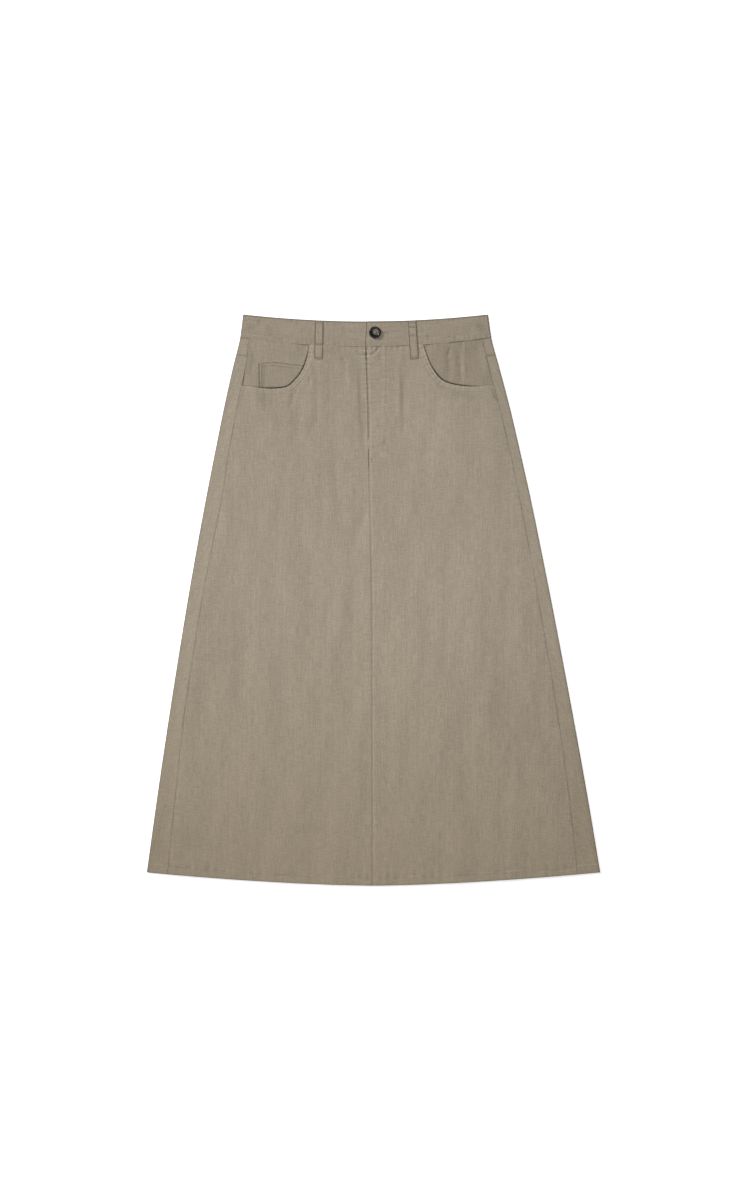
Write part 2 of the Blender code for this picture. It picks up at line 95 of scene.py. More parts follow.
# The largest soft folds, as in the solids, then the small creases pressed into the cloth
FOLDS = strokes([
    (-174, 300, -176, 262, 9, -0.60), (-126, 330, -117, 224, 10, -0.75), (-70, 400, -54, 110, 11, -0.75),
    (-46, 392, -46, 337, 6, -0.60), (-21, 380, -12, 230, 6, -0.75), (40, 384, 41, 262, 5, 0.34),
    (49, 384, 50, 262, 6, -0.32), (132, 330, 165, 322, 7, -0.34), (-12, 150, -32, 84, 8, -0.75),
    (-118, 160, -100, 0, 16, -1.05), (-214, 10, -208, -160, 18, -1.20), (-150, -90, -146, -165, 14, -0.90),
    (-72, -60, -66, -165, 16, 1.05), (140, 60, 175, -150, 24, 0.90), (-326, -340, -318, -420, 22, -0.90),
    (-123, 338, -133, 306, 3.5, -0.54), (-101, 361, -102, 341, 3.2, -0.41),
    (-184, 318, -164, 316, 9, -0.48), (110, 326, 156, 322, 8, -0.41), (-172, 383, -172, 348, 4.0, -0.41),
    (121, 396, 119.5, 348, 5.0, -0.50), (130, 396, 130, 352, 4.5, 0.30), (-152, 208, -140, 96, 13, -0.61),
    (-96, 236, -88, 130, 10, 0.54), (88, 262, 80, 150, 11, -0.54), (206, 236, 222, 130, 12, -0.54),
    (-40, 60, -52, -60, 12, 0.54), (88, 60, 70, -60, 13, -0.54), (-262, -90, -270, -210, 15, -0.61),
    (-30, -210, -24, -340, 14, 0.54), (150, -250, 168, -400, 18, -0.68),
    (-196, -230, -184, -360, 17, 0.61), (262, -220, 280, -350, 17, 0.61),
    (-104, -360, -96, -430, 20, -0.90), (325, -370, 335, -430, 20, -0.90),
])
CREASES = strokes([
    # beside the top of the fly
    (-28, 397, -10, 391, 2.2, -1.30), (-12, 391, -6, 391, 2.0, -0.90), (-52, 386, -40, 378, 3.0, -0.70),
    (-5, 390, 3, 396, 1.8, -0.70), (3, 396, 12, 406.5, 1.8, -0.75), (10.5, 399, 10.5, 385, 1.8, -0.44),
    (-70, 401.5, -58, 399, 2.2, -0.48),
    # down the fly
    (-21.7, 356, -20, 305, 3.0, -0.44), (-20, 305, -15.3, 246, 3.0, -0.40),
    (41.5, 361, 41.5, 297, 3.0, 0.30), (48, 356, 48, 292, 2.8, -0.36), (48, 281, 48, 270, 2.6, -0.36),
    (17, 258, 24, 249, 2.0, -0.80), (4, 240, 13, 232, 2.0, -0.80), (-3, 243, 4, 242, 1.8, -0.60),
    (6, 352, 12, 349, 1.8, -0.50), (10, 318, 16, 320, 1.8, -0.50), (-46, 392, -44, 340, 2.6, -0.31),
    # pocket facings
    (122.3, 403, 119.1, 389.5, 2.4, -0.95), (120, 383, 120.5, 376, 2.4, -0.45),
    (136.7, 398, 141.5, 343, 4.2, -0.70), (145.5, 409, 145.5, 345, 3.2, 0.40),
    (142.3, 412, 142.3, 399, 1.8, -0.40), (163, 405, 170, 398, 2.2, -0.50),
    (174, 404, 178, 392, 2.2, -0.50), (-176.9, 385, -176.9, 380, 1.6, -0.66),
    (-173.7, 385, -173.7, 305, 3.4, -0.53),
    # below the pocket mouths
    (-129.7, 333, -129.7, 323, 1.6, -0.62), (-122.5, 338, -122.5, 331, 1.6, -0.53),
    (-103.3, 356, -100.1, 346, 1.8, -0.53), (-184, 337, -183.3, 325.6, 1.6, -0.53),
    (-168, 300, -169, 262, 4.0, -0.35), (150, 318, 163, 316, 3.0, -0.44),
    # scattered lower down
    (-174, -250, -158, -250.5, 3.0, -0.35), (-62, 236, -58, 150, 4.5, -0.35),
    (66, 215, 74, 120, 5.5, -0.33), (182, 140, 190, 30, 6.5, -0.35), (-232, -210, -238, -330, 8.0, -0.40),
    (250, -120, 262, -230, 8.0, 0.40), (60, -150, 50, -290, 7.0, -0.33),
    # dents in the waistband
    (-185, 447, -180, 442.5, 1.8, -0.66), (-170.5, 431, -165.7, 426.5, 1.8, -0.62),
    (-174, 422.5, -173.5, 421, 2.2, -0.62), (-165, 422.5, -164.8, 420.5, 2.0, -0.55),
    (-130.5, 449, -127.3, 441, 2.2, -0.62), (85.5, 423, 88.7, 417, 1.8, -0.66),
    (122.3, 423, 122.3, 418.5, 1.6, -0.62), (130.3, 423, 136.7, 420, 1.8, -0.70),
    (148, 435, 148, 433.5, 2.0, -0.55), (156, 435, 156, 433.5, 2.0, -0.55),
    (153.5, 422, 153.5, 419.5, 2.0, -0.62), (52, 440, 57, 431, 3.4, -0.40),
    (-48, 436, -42, 424, 3.4, -0.35),
])
# Painted shade where the cloth lies a little darker in soft patches, or painted light below zero
PAINTED_SHADES = strokes([
    (-177, 354, -172, 300, 17, 0.30), (-125, 352, -120, 262, 9, 0.18), (-90, 399, -46, 397, 5, 0.15),
    (-38, 396, -28, 350, 12, 0.24), (-22, 354, -13, 262, 7, 0.20), (88, 368, 112, 338, 6, 0.16),
    (124, 330, 172, 322, 8, 0.26), (-94, 326, -92, 288, 8, -0.14), (-38, 330, -38, 288, 7, -0.12),
    (45, 330, 44, 215, 12, -0.12), (-178, 230, -178, 170, 26, -0.09), (25, 30, 20, -180, 55, -0.12),
    (215, -150, 262, -300, 36, 0.10), (-325, -372, -265, -386, 20, 0.14), (330, -330, 350, -410, 22, 0.08),
    (90, 330, 92, 200, 45, -0.12), (184, 344, 197, 319, 2.4, 0.45), (-172, 380, -171, 350, 4, 0.25),
    (-26, 393, -10, 392.5, 1.6, 0.60), (-6, 391.5, 12, 406, 1.5, 0.55), (10, 398, 9.5, 381, 1.8, 0.28),
    (26, 369.5, 35, 369.5, 1.4, 0.35), (-6, 376, 3, 378.5, 1.4, 0.35), (-5, 341, 4, 343, 1.4, 0.30),
    (-6, 315, 6, 317, 1.4, 0.30), (1, 278, 17, 277, 1.5, 0.32), (9, 247, 21, 256, 1.5, 0.36),
    (-6, 244, 4, 245.5, 1.4, 0.35), (36, 295, 36, 276, 1.6, 0.25), (-198, 438, -196, 432, 6, 0.26),
    (-181.5, 448, -184.5, 439, 3, 0.30), (-168.5, 441, -164, 421, 4, 0.28),
    (-174, 426, -173.5, 419, 2, 0.30), (-127, 445, -122.5, 438, 4, 0.22), (-116, 433, -113, 428, 4, 0.14),
    (-63, 443, -62, 438, 3, 0.20), (-150, 437, -140, 431, 9, -0.10), (-160, 412.6, -84, 409.4, 1.3, -0.28),
    (-126, 409.8, -100, 408.4, 1.6, -0.55), (85, 425, 90.5, 415, 3, 0.34), (121, 451, 131, 447, 2.6, 0.22),
    (141, 434, 153, 428, 5, 0.20), (165, 442, 173, 432, 3.5, 0.30), (122, 421, 131, 418, 2, 0.36),
    (-72, 430, -14, 427, 15, -0.09), (150, 120, 175, -120, 75, -0.09),
])

FOLD_HEIGHT = 3.7
LOFT = 0.6
LOFT_REACH = (4.0, 45.0)
RELIEF_REACH = (2.0, 20.0)
HEM_SETTLE = 0.4
HEM_SETTLE_DEPTH = 60.0
HEM_STEP = 0.35
BAG_INNER_EDGE = 55.0
BAG_BOTTOM = 195.0
BAG_RISE = 0.4
BAG_SOFT_EDGE = (-18.0, 3.0)
BAG_FOLD_REACH = (6.0, 26.0)
BAG_SOFT_FOOT = (-5.0, 35.0)
COIN_OUTER_EDGE = 171.0
COIN_INNER_EDGE = 95.0
COIN_TOP = 69.0
COIN_BOTTOM = 145.0
COIN_LIFT = 1.2
COIN_PLAY = 5.0
COIN_SLOPE = 18.0
MOUTH_GAPES = {"right": (-118, 361, 24, 1.2), "left": (105, 352, 20, 0.6)}  # where, reach and rise

FLY_DEPTH = 205.0
PANEL_UNDERLAP = 22.0
UNDERLAP_TAPER = 0.55
PANEL_LAP = 1.45
CENTRE_STEP = 0.2
CENTRE_STEP_REACH = (2.0, 14.0)
LAP_REACH = (33.0, 70.0)
LAP_FOOT = (7.0, 40.0)


def through(keys, values, at):
    """A smooth curve through the rows of a table that never overshoots them.

    Each span is a cubic, with a slope at each row that is the harmonic mean of the
    slopes on its two sides, or flat where they disagree.
    """
    at = np.asarray(at, float)
    steps = np.diff(keys)
    rises = np.diff(values) / steps
    slopes = np.concatenate([rises[:1], np.zeros(len(keys) - 2), rises[-1:]])
    agree = rises[:-1] * rises[1:] > 0
    total = np.where(agree, rises[:-1] + rises[1:], 1.0)
    slopes[1:-1] = np.where(agree, 2 * rises[:-1] * rises[1:] / total, 0.0)
    span = np.clip(np.searchsorted(keys, at) - 1, 0, len(keys) - 2)
    t = np.clip((at - keys[span]) / steps[span], 0, 1)
    rise = values[span + 1] - values[span]
    start = slopes[span] * steps[span]
    end = slopes[span + 1] * steps[span]
    return values[span] + rise * t * t * (3 - 2 * t) + t * (1 - t) * (start * (1 - t) - end * t)


def laid(column, down):
    """A column of the outline at a place down the skirt."""
    return through(OUTLINE["down"], OUTLINE[column], down)


def half(down):
    """Half of the laid width."""
    return laid("half_width", down)


def from_fold(across, down):
    """Distance in from the nearer folded side."""
    return (1 - np.abs(across)) * half(down)


def ease(value, start, end):
    """0 at start, 1 at end, held beyond both, and an S-curve between them."""
    t = np.clip((value - start) / (end - start), 0, 1)
    return t * t * (3 - 2 * t)


def hanging(across, down):
    """How far a row hangs below its ends: a parabola across, flatter towards the hem."""
    bow = WAIST_BOW + (HEM_BOW - WAIST_BOW) * down / LAID_LENGTH
    return laid("hang", down) * (1 - np.abs(across) ** bow)


def plan(across, down):
    """The X and Y of a place on the laid skirt."""
    x = laid("sway", down) + across * half(down)
    return x, WAIST_Y - down - hanging(across, down)


def across_of(x, down):
    """The across value of an X."""
    return (x - laid("sway", down)) / half(down)


def groove(away, width):
    """1 on a line and fading beside it, as a Gaussian of the distance from it."""
    return np.exp(-((away / width) ** 2))


def line_shade(away, dark, width):
    """A line of painted shade this dark on its middle and fading beside it."""
    return dark * groove(away, width)


def line_relief(lines, x, y):
    """Each line's rise times a Gaussian of the distance from it, all added up.

    A line is fullest at its middle and dies away towards its ends, as half an ellipse.
    """
    relief = np.zeros(np.broadcast(x, y).shape)
    for line in lines:
        run_x = line["x1"] - line["x0"]
        run_y = line["y1"] - line["y0"]
        along = (x - line["x0"]) * run_x + (y - line["y0"]) * run_y
        along = np.clip(along / (run_x**2 + run_y**2), 0, 1)
        away = np.hypot(x - line["x0"] - along * run_x, y - line["y0"] - along * run_y)
        swell = 0.2 + 0.8 * np.sqrt(4 * along * (1 - along))
        relief += line["rise"] * swell * groove(away, line["half_width"])
    return relief


def ripples(x, y, seed=11, slope=0.025, count=18):
    """Slow waves that run down the cloth.

    A sum of sines across it, each with its own width, tilt and place, and each growing
    and fading along its length. All of them have the same steepness.
    """
    chance = np.random.default_rng(seed)
    width = chance.uniform(22, 95, count)
    tilt = chance.normal(0, 0.14, count)
    run = chance.uniform(150, 420, count)
    start = chance.uniform(0, 2 * np.pi, (2, count))
    height = slope / np.sqrt(count) * width * np.sqrt(2) / (2 * np.pi)
    x = np.asarray(x)[..., None]
    y = np.asarray(y)[..., None]
    wave = np.sin(2 * np.pi * (x + tilt * y) / width + start[0])
    swell = 0.5 + 0.9 * np.sin(2 * np.pi * y / run + start[1])
    return (height * wave * swell).sum(axis=-1)


def patchy(travel):
    """0 to 1 along a seam: three sines, so that its line shows here and fades there."""
    waves = np.sin(travel / 9.1) + np.sin(travel / 23.7) + np.sin(travel / 2.3)
    return np.clip(0.5 + 0.3 * waves, 0, 1)


def puckers(away, travel, depth, reach, pitch):
    """Short dents square to a seam: a sine along it, of drifting pitch, fading beside it."""
    phase = 2 * np.pi * travel / pitch + 1.7 * np.sin(travel / 31) + 1.1 * np.sin(travel / 17.3)
    uneven = 0.65 + 0.35 * np.sin(travel / 43 + 1)
    return depth * uneven * np.sin(phase) * np.exp(-away / reach)


def seam_across(side_name, down):
    """The across value of a side seam."""
    return SIDES[side_name] * (1 - laid(side_name + "_strip", down) / half(down))


def from_side_seam(side_name, across, down):
    """Distance from a side seam."""
    return np.abs(across - seam_across(side_name, down)) * half(down)


def mouth_at(side_name, share):
    """Across and down values at a share, from 0 to 1, of a pocket mouth's length."""
    out, down = np.array(MOUTHS[side_name]).T
    travel = np.concatenate([[0], np.cumsum(np.hypot(np.diff(out), np.diff(down)))])
    at_down = through(travel, down, travel[-1] * share)
    at_out = through(travel, out, travel[-1] * share)
    across = np.minimum(at_out / half(at_down), np.abs(seam_across(side_name, at_down)))
    return SIDES[side_name] * across, at_down


def beside(line_x, line_y, x, y):
    """Distance from a polyline, and how far along it the nearest place lies."""
    run_x = np.diff(line_x)
    run_y = np.diff(line_y)
    length = np.hypot(run_x, run_y)
    travel = np.concatenate([[0], np.cumsum(length)])
    from_x = np.asarray(x)[..., None] - line_x[:-1]
    from_y = np.asarray(y)[..., None] - line_y[:-1]
    along = np.clip((from_x * run_x + from_y * run_y) / length**2, 0, 1)
    away = np.hypot(from_x - along * run_x, from_y - along * run_y)
    closest = away.argmin(axis=-1)[..., None]
    places = (away, travel[:-1] + along * length)
    return [np.take_along_axis(place, closest, axis=-1)[..., 0] for place in places]


MOUTH_LINES = {side_name: plan(*mouth_at(side_name, np.linspace(0, 1, 70))) for side_name in SIDES}


def upper_form(across, down):
    """Plain outer height of the upper layer: low at the folds, raised over the bags."""
    inward = from_fold(across, down)
    out = np.abs(across) * half(down)
    over_bag = ease(out - BAG_INNER_EDGE, *BAG_SOFT_EDGE) * ease(inward, *BAG_FOLD_REACH)
    over_bag = over_bag * (1 - ease(down - BAG_BOTTOM, *BAG_SOFT_FOOT))
    height = FOLD_HEIGHT + LOFT * ease(inward, *LOFT_REACH) + BAG_RISE * over_bag
    height = height - HEM_SETTLE * ease(down, LAID_LENGTH - HEM_SETTLE_DEPTH, LAID_LENGTH)
    return height + HEM_STEP * ease(down - HEM_LINE, -0.7, 0.7)


def faded(relief, across, down):
    """Relief that dies away at the folded sides."""
    return relief * ease(from_fold(across, down), *RELIEF_REACH)


def upper_height(across, down):
    """The plain height with its folds, creases and ripples."""
    place = plan(across, down)
    relief = line_relief(FOLDS, *place) + line_relief(CREASES, *place) + ripples(*place)
    return upper_form(across, down) + faded(relief, across, down)


def lap_rise(across, down, lift):
    """Extra height of the left front where it laps over the fly, easing away from it."""
    beyond = plan(across, down)[0] - laid("front_line", down)
    over_fly = (1 - ease(beyond, *LAP_REACH)) * (1 - ease(down - FLY_DEPTH, *LAP_FOOT))
    return lift * over_fly + CENTRE_STEP * (1 - over_fly) * (1 - ease(beyond, *CENTRE_STEP_REACH))


def coin_rise(across, down):
    """The right front panel rides up over the coin pocket behind its mouth."""
    out = np.abs(across) * half(down)
    rise = ease(COIN_INNER_EDGE - out, COIN_SLOPE, COIN_PLAY)
    rise = rise * ease(out - COIN_OUTER_EDGE, COIN_SLOPE, COIN_PLAY)
    rise = rise * ease(COIN_TOP - down, COIN_SLOPE / 2, COIN_PLAY / 2)
    return COIN_LIFT * rise * ease(down - COIN_BOTTOM, COIN_SLOPE + COIN_PLAY, COIN_PLAY)


# Puckers along each seam: how deep they are, how far beside it they reach, and their pitch
SIDE_PUCKERS = (0.15, 6, 10)
WAIST_PUCKERS = (0.24, 7, 9)
HEM_PUCKERS = (0.14, 8, 13)
MOUTH_PUCKERS = (0.20, 8, 7.5)
FLY_PUCKERS = (0.16, 6, 9)
CENTRE_PUCKERS = (8, 7.5)
CENTRE_PULL = (0.24, 0.10, 60.0)  # their depth beside the fly and below it, and the length of the change


def seam_puckers(side_name, across, down):
    """The puckers that both sides of a side seam share, with those of waist and hem."""
    from_seam = from_side_seam(side_name, across, down)
    x, _ = plan(across, down)
    at_waist = puckers(np.abs(down - BAND_HEIGHT), x, *WAIST_PUCKERS)
    at_hem = puckers(np.abs(down - HEM_LINE), x + 7, *HEM_PUCKERS)
    return puckers(from_seam, down + 20, *SIDE_PUCKERS) + at_waist + at_hem


# How dark the painted shadow beside a line is: along the waist seam by X, and down the centre front
WAIST_SEAM_SHOWS = [
    (-210, 0.8), (-200, 0.8), (-196, 0.0), (-176, 0.0), (-172, 0.3), (-150, 0.3), (-146, 0.0),
    (-54, 0.0), (-50, 0.4), (-16, 0.4), (-12, 0.0), (-2, 0.0), (0, 0.5), (4, 0.5), (8, 0.0),
    (36, 0.0), (41, 0.5), (54, 0.6), (60, 0.0), (106, 0.0), (118, 0.1), (123, 1.2), (143, 1.2),
    (148, 0.2), (156, 0.2), (160, 0.9), (172, 0.9), (176, 1.4), (186, 1.4),
]
CENTRE_SHOWS = [
    (0, 1.6), (57, 1.8), (64, 1.3), (182, 1.1), (187, 0.1), (197, 0.1), (202, 1.1), (226, 1.1),
    (236, 0.45), (892, 0.32),
]
# The painted shadow in the gap under a pocket mouth
MOUTH_GAP = (0.45, 2.15)  # the gap at a pocket mouth, least and most dark
MOUTH_GAP_WIDTH = (0.9, 1.8)
MOUTH_GAP_OPENS = {"right": (-0.08, 0.18), "left": (0.08, 0.36)}  # shares of its length
MOUTH_GAP_CLOSES = (0.64, 0.98)


def shown(marks, at):
    """How much painted shade, or paleness, there is at these places: straight lines between the marks."""
    return np.interp(at, *np.array(marks, float).T)


def mouth_gap_shade(side_name, x, y):
    """How dark the painted shadow in the gap under a pocket mouth is, and how many of its widths away it
    lies.

    It opens most round the mouth's lower inner curve.
    """
    from_mouth, along_mouth = beside(*MOUTH_LINES[side_name], x, y)
    share = along_mouth / np.hypot(*np.diff(MOUTH_LINES[side_name])).sum()
    opened = ease(share, *MOUTH_GAP_OPENS[side_name]) * (1 - ease(share, *MOUTH_GAP_CLOSES))
    dark, width = (low + (high - low) * opened for low, high in (MOUTH_GAP, MOUTH_GAP_WIDTH))
    return dark, (from_mouth - 0.5 * opened) / width


MOUTH_ROWS = (3.6, 9.0)  # topstitching, out from a pocket mouth
CENTRE_ROW = 1.9  # and beside the centre front
FLY_STITCH = np.array([(20.5, 405), (20.4, 330), (20, 266), (17.5, 248), (9, 233), (-6, 224)])
ROW_DENT = 0.28
ROW_DENT_WIDTH = 1.0


def front_puckers(side_name, across, down):
    """Height of all of a front panel's puckers: at its mouth, centre, fly, seams and hem."""
    x, y = plan(across, down)
    from_centre = np.abs(x - laid("front_line", down))
    fly_pull, low_pull, change = CENTRE_PULL
    pulled = low_pull + (fly_pull - low_pull) * (1 - ease(down, FLY_DEPTH, FLY_DEPTH + change))
    raised = puckers(*beside(*MOUTH_LINES[side_name], x, y), *MOUTH_PUCKERS)
    raised = raised + puckers(from_centre, down, pulled, *CENTRE_PUCKERS)
    if side_name == "left":
        raised = raised + puckers(*beside(*FLY_STITCH.T, x, y), *FLY_PUCKERS)
    return raised + seam_puckers(side_name, across, down)


def front_height(side_name, across, down):
    """Outer height of a front panel: lap or coin pocket, gape, puckers and sewn dents."""
    left = side_name == "left"
    height = upper_height(across, down)
    height = height + (lap_rise(across, down, PANEL_LAP) if left else coin_rise(across, down))
    x, y = plan(across, down)
    gape_x, gape_y, reach, rise = MOUTH_GAPES[side_name]
    height = height + rise * groove(np.hypot(x - gape_x, y - gape_y), reach)
    from_mouth, _ = beside(*MOUTH_LINES[side_name], x, y)
    from_rows = [from_mouth - row for row in MOUTH_ROWS]
    if left:
        from_rows.append(np.abs(x - laid("front_line", down)) - CENTRE_ROW)
        from_rows.append(beside(*FLY_STITCH.T, x, y)[0])
    for from_row in from_rows:
        height = height - ROW_DENT * groove(from_row, ROW_DENT_WIDTH)
    return height + front_puckers(side_name, across, down)


def quad_mesh(name, points, quads):
    """A smooth mesh from an array of points in millimetres and one of four-cornered faces."""
    mesh = bpy.data.meshes.new(name)
    mesh.vertices.add(len(points))
    mesh.vertices.foreach_set("co", (points * MM).ravel())
    mesh.loops.add(quads.size)
    mesh.loops.foreach_set("vertex_index", quads.ravel())
    mesh.polygons.add(len(quads))
    mesh.polygons.foreach_set("loop_start", np.arange(0, quads.size, 4))
    mesh.update(calc_edges=True)
    mesh.shade_smooth()
    return mesh


def added(name, data):
    """An object of this mesh, light or camera in the scene."""
    made = bpy.data.objects.new(name, data)
    bpy.context.scene.collection.objects.link(made)
    return made


def placed(name, mesh, material, solid=None):
    """A piece of this mesh that rides on the skirt, in one of its finishes, for a solid."""
    mesh.materials.append(material)
    piece = added(name, mesh)
    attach(piece, "root")
    if solid:
        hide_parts(solid)
    return piece


CLOTH_WALL = 0.8
TURNED_WALL = 0.35  # how much thicker the cloth is where it is turned in
RIM_LINES = np.array([0, 0.15, 0.35, 0.6, 0.95, 1.4, 2.0, 2.8, 4.0, 6.0])
ROUNDING = 0.8  # an edge is rounded over this much of the cloth beside it
RIM_LEFT = 0.06  # what stays of the wall at the very edge
SEWN = 0.35  # a sewn edge rounds as if it lay this much further off


def nearest(*distances):
    """The least of some distances at each point."""
    return np.minimum.reduce(np.broadcast_arrays(*distances))


def darkest(*shades):
    """The most of some shades at each point."""
    return np.maximum.reduce(np.broadcast_arrays(*shades))


def cloth_shell(name, x, y, z, grain, wall, from_edge, painted_shade, gap=(0.0, 9.0)):
    """A closed shell of cloth on a grid of outer points.

    A second grid lies one wall inside the first along its normals, and a rim joins them.
    Near an edge both faces round towards the middle of the wall, as a quarter of a circle
    in the distance from the edge. The grid's last column faces up. The painted shade in its
    ditches is kept at its points, as is a gap's painted shadow with the number of its widths to it.
    """
    outer = np.stack([x, y, z], axis=-1)
    normal = np.cross(np.gradient(outer, axis=1), np.gradient(outer, axis=0))
    normal /= np.linalg.norm(normal, axis=-1, keepdims=True)
    turned = normal[len(normal) // 2, -1, 2] < 0
    normal = -normal if turned else normal
    near = np.clip(1 - from_edge / ROUNDING, 0, 1)
    wall = np.broadcast_to(wall, x.shape)
    drop = (wall - RIM_LEFT) / 2 * (1 - np.sqrt(1 - near**2))
    inner = outer - normal * (wall - drop)[..., None]
    outer = outer - normal * drop[..., None]

    index = np.arange(x.size).reshape(x.shape)
    quads = np.stack([index[:-1, :-1], index[:-1, 1:], index[1:, 1:], index[1:, :-1]], axis=-1)
    quads = quads.reshape(-1, 4)
    loop = np.concatenate([index[0], index[1:, -1], index[-1, -2::-1], index[-2:0:-1, 0]])
    after = np.roll(loop, -1)
    rim = np.stack([after, loop, loop + x.size, after + x.size], axis=-1)
    quads = np.concatenate([quads, quads[:, ::-1] + x.size, rim])
    quads = quads[:, ::-1] if turned else quads
    mesh = quad_mesh(name, np.concatenate([outer.reshape(-1, 3), inner.reshape(-1, 3)]), quads)

    grain = np.stack(np.broadcast_arrays(*grain), axis=-1).reshape(-1, 2) * MM
    layer = mesh.uv_layers.new(name="grain")
    layer.data.foreach_set("uv", np.concatenate([grain, grain])[quads.ravel()].ravel())
    for shade_name, shade in (("painted_shade", painted_shade), ("gap", gap[0]), ("from_gap", gap[1])):
        shade = np.broadcast_to(shade, x.shape).ravel()
        kept = mesh.attributes.new(shade_name, "FLOAT", "POINT")
        kept.data.foreach_set("value", np.concatenate([shade, shade]))
    return mesh


def feed(tree, made, inputs):
    """A node whose inputs are each given a value or another node's socket."""
    for socket, value in inputs.items():
        if isinstance(value, bpy.types.NodeSocket):
            tree.links.new(value, made.inputs[socket])
        else:
            made.inputs[socket].default_value = value
    return made


def node(tree, kind, inputs=None, **settings):
    """A new shader node with its settings and inputs."""
    made = tree.nodes.new("ShaderNode" + kind)
    for setting, value in settings.items():
        setattr(made, setting, value)
    return feed(tree, made, inputs or {})


def worked(tree, operation, *values):
    """The result of a Math node on these values or sockets."""
    return node(tree, "Math", dict(enumerate(values)), operation=operation).outputs[0]


def vector(tree, operation, *values):
    """The result of a Vector Math node on these values or sockets."""
    return node(tree, "VectorMath", dict(enumerate(values)), operation=operation).outputs[0]


def new_material(name):
    """A material, its nodes and its shader."""
    material = bpy.data.materials.new(name)
    material.use_nodes = True
    return material, material.node_tree, material.node_tree.nodes["Principled BSDF"]


def yarn_noise(tree, grain, width, length, place, detail):
    """Noise about zero whose grains are this wide and long, in millimetres."""
    size = (1 / (width * MM), 1 / (length * MM), 1.0)
    spread = vector(tree, "MULTIPLY_ADD", grain, size, (place, place, 0))
    inputs = {"Vector": spread, "Scale": 1.0, "Detail": detail, "Roughness": 0.55}
    return worked(tree, "SUBTRACT", node(tree, "TexNoise", inputs, noise_dimensions="2D").outputs[0], 0.5)


YARN_PITCH = 0.62
YARN_ROUND = 1.2
UNEVEN = {  # width, length, place in the noise, detail, and strength in the colour
    "warp": (1.7, 20, 3.1, 2, 0.34),
    "wide_warp": (3.8, 190, 17.7, 2, 0.16),
    "weft": (15, 1.6, 31.3, 2, 0.30),
    "fleck": (1.7, 2.4, 47.9, 3, 0.52),
    "patch": (30, 52, 5.5, 3, 0.08),
    "cloud": (120, 170, 71.1, 2, 0.05),
    "slub": (1.5, 17, 91.7, 1, 0.50),
}
RAISED = {"warp": 0.9, "weft": 0.7, "slub": 2.5}  # strength in the height
# The weave's part in the colour is painted shade in the hollows between the yarns
WEAVE_STRENGTH = (0.06, 0.45)  # in the colour and in the height
SLUB_OVER = 0.13  # only the highest of the slub noise shows
BEAT = (70, 110, 22.2, 2)  # where the diagonal beat shows: width, length, place, detail
BEAT_UNDER = 0.08
BEAT_PITCH = 4.4
BEAT_LEAN = 0.83
BEAT_STRENGTH = 0.20
ROUGH = (0.86, 0.25)  # and how much the flecks change it
# How much the painted shade darkens the colour, for each unit of it
PAINTED_SHADE_DARK = -0.45
# Painted shade towards the hem, darker and yellower where the light falls off, by the grain's Y
PAINTED_HEM_SHADE = (0.985, 0.955, 0.895, 1)
PAINTED_HEM_SHADE_FROM_TO = (0.06, -0.42)


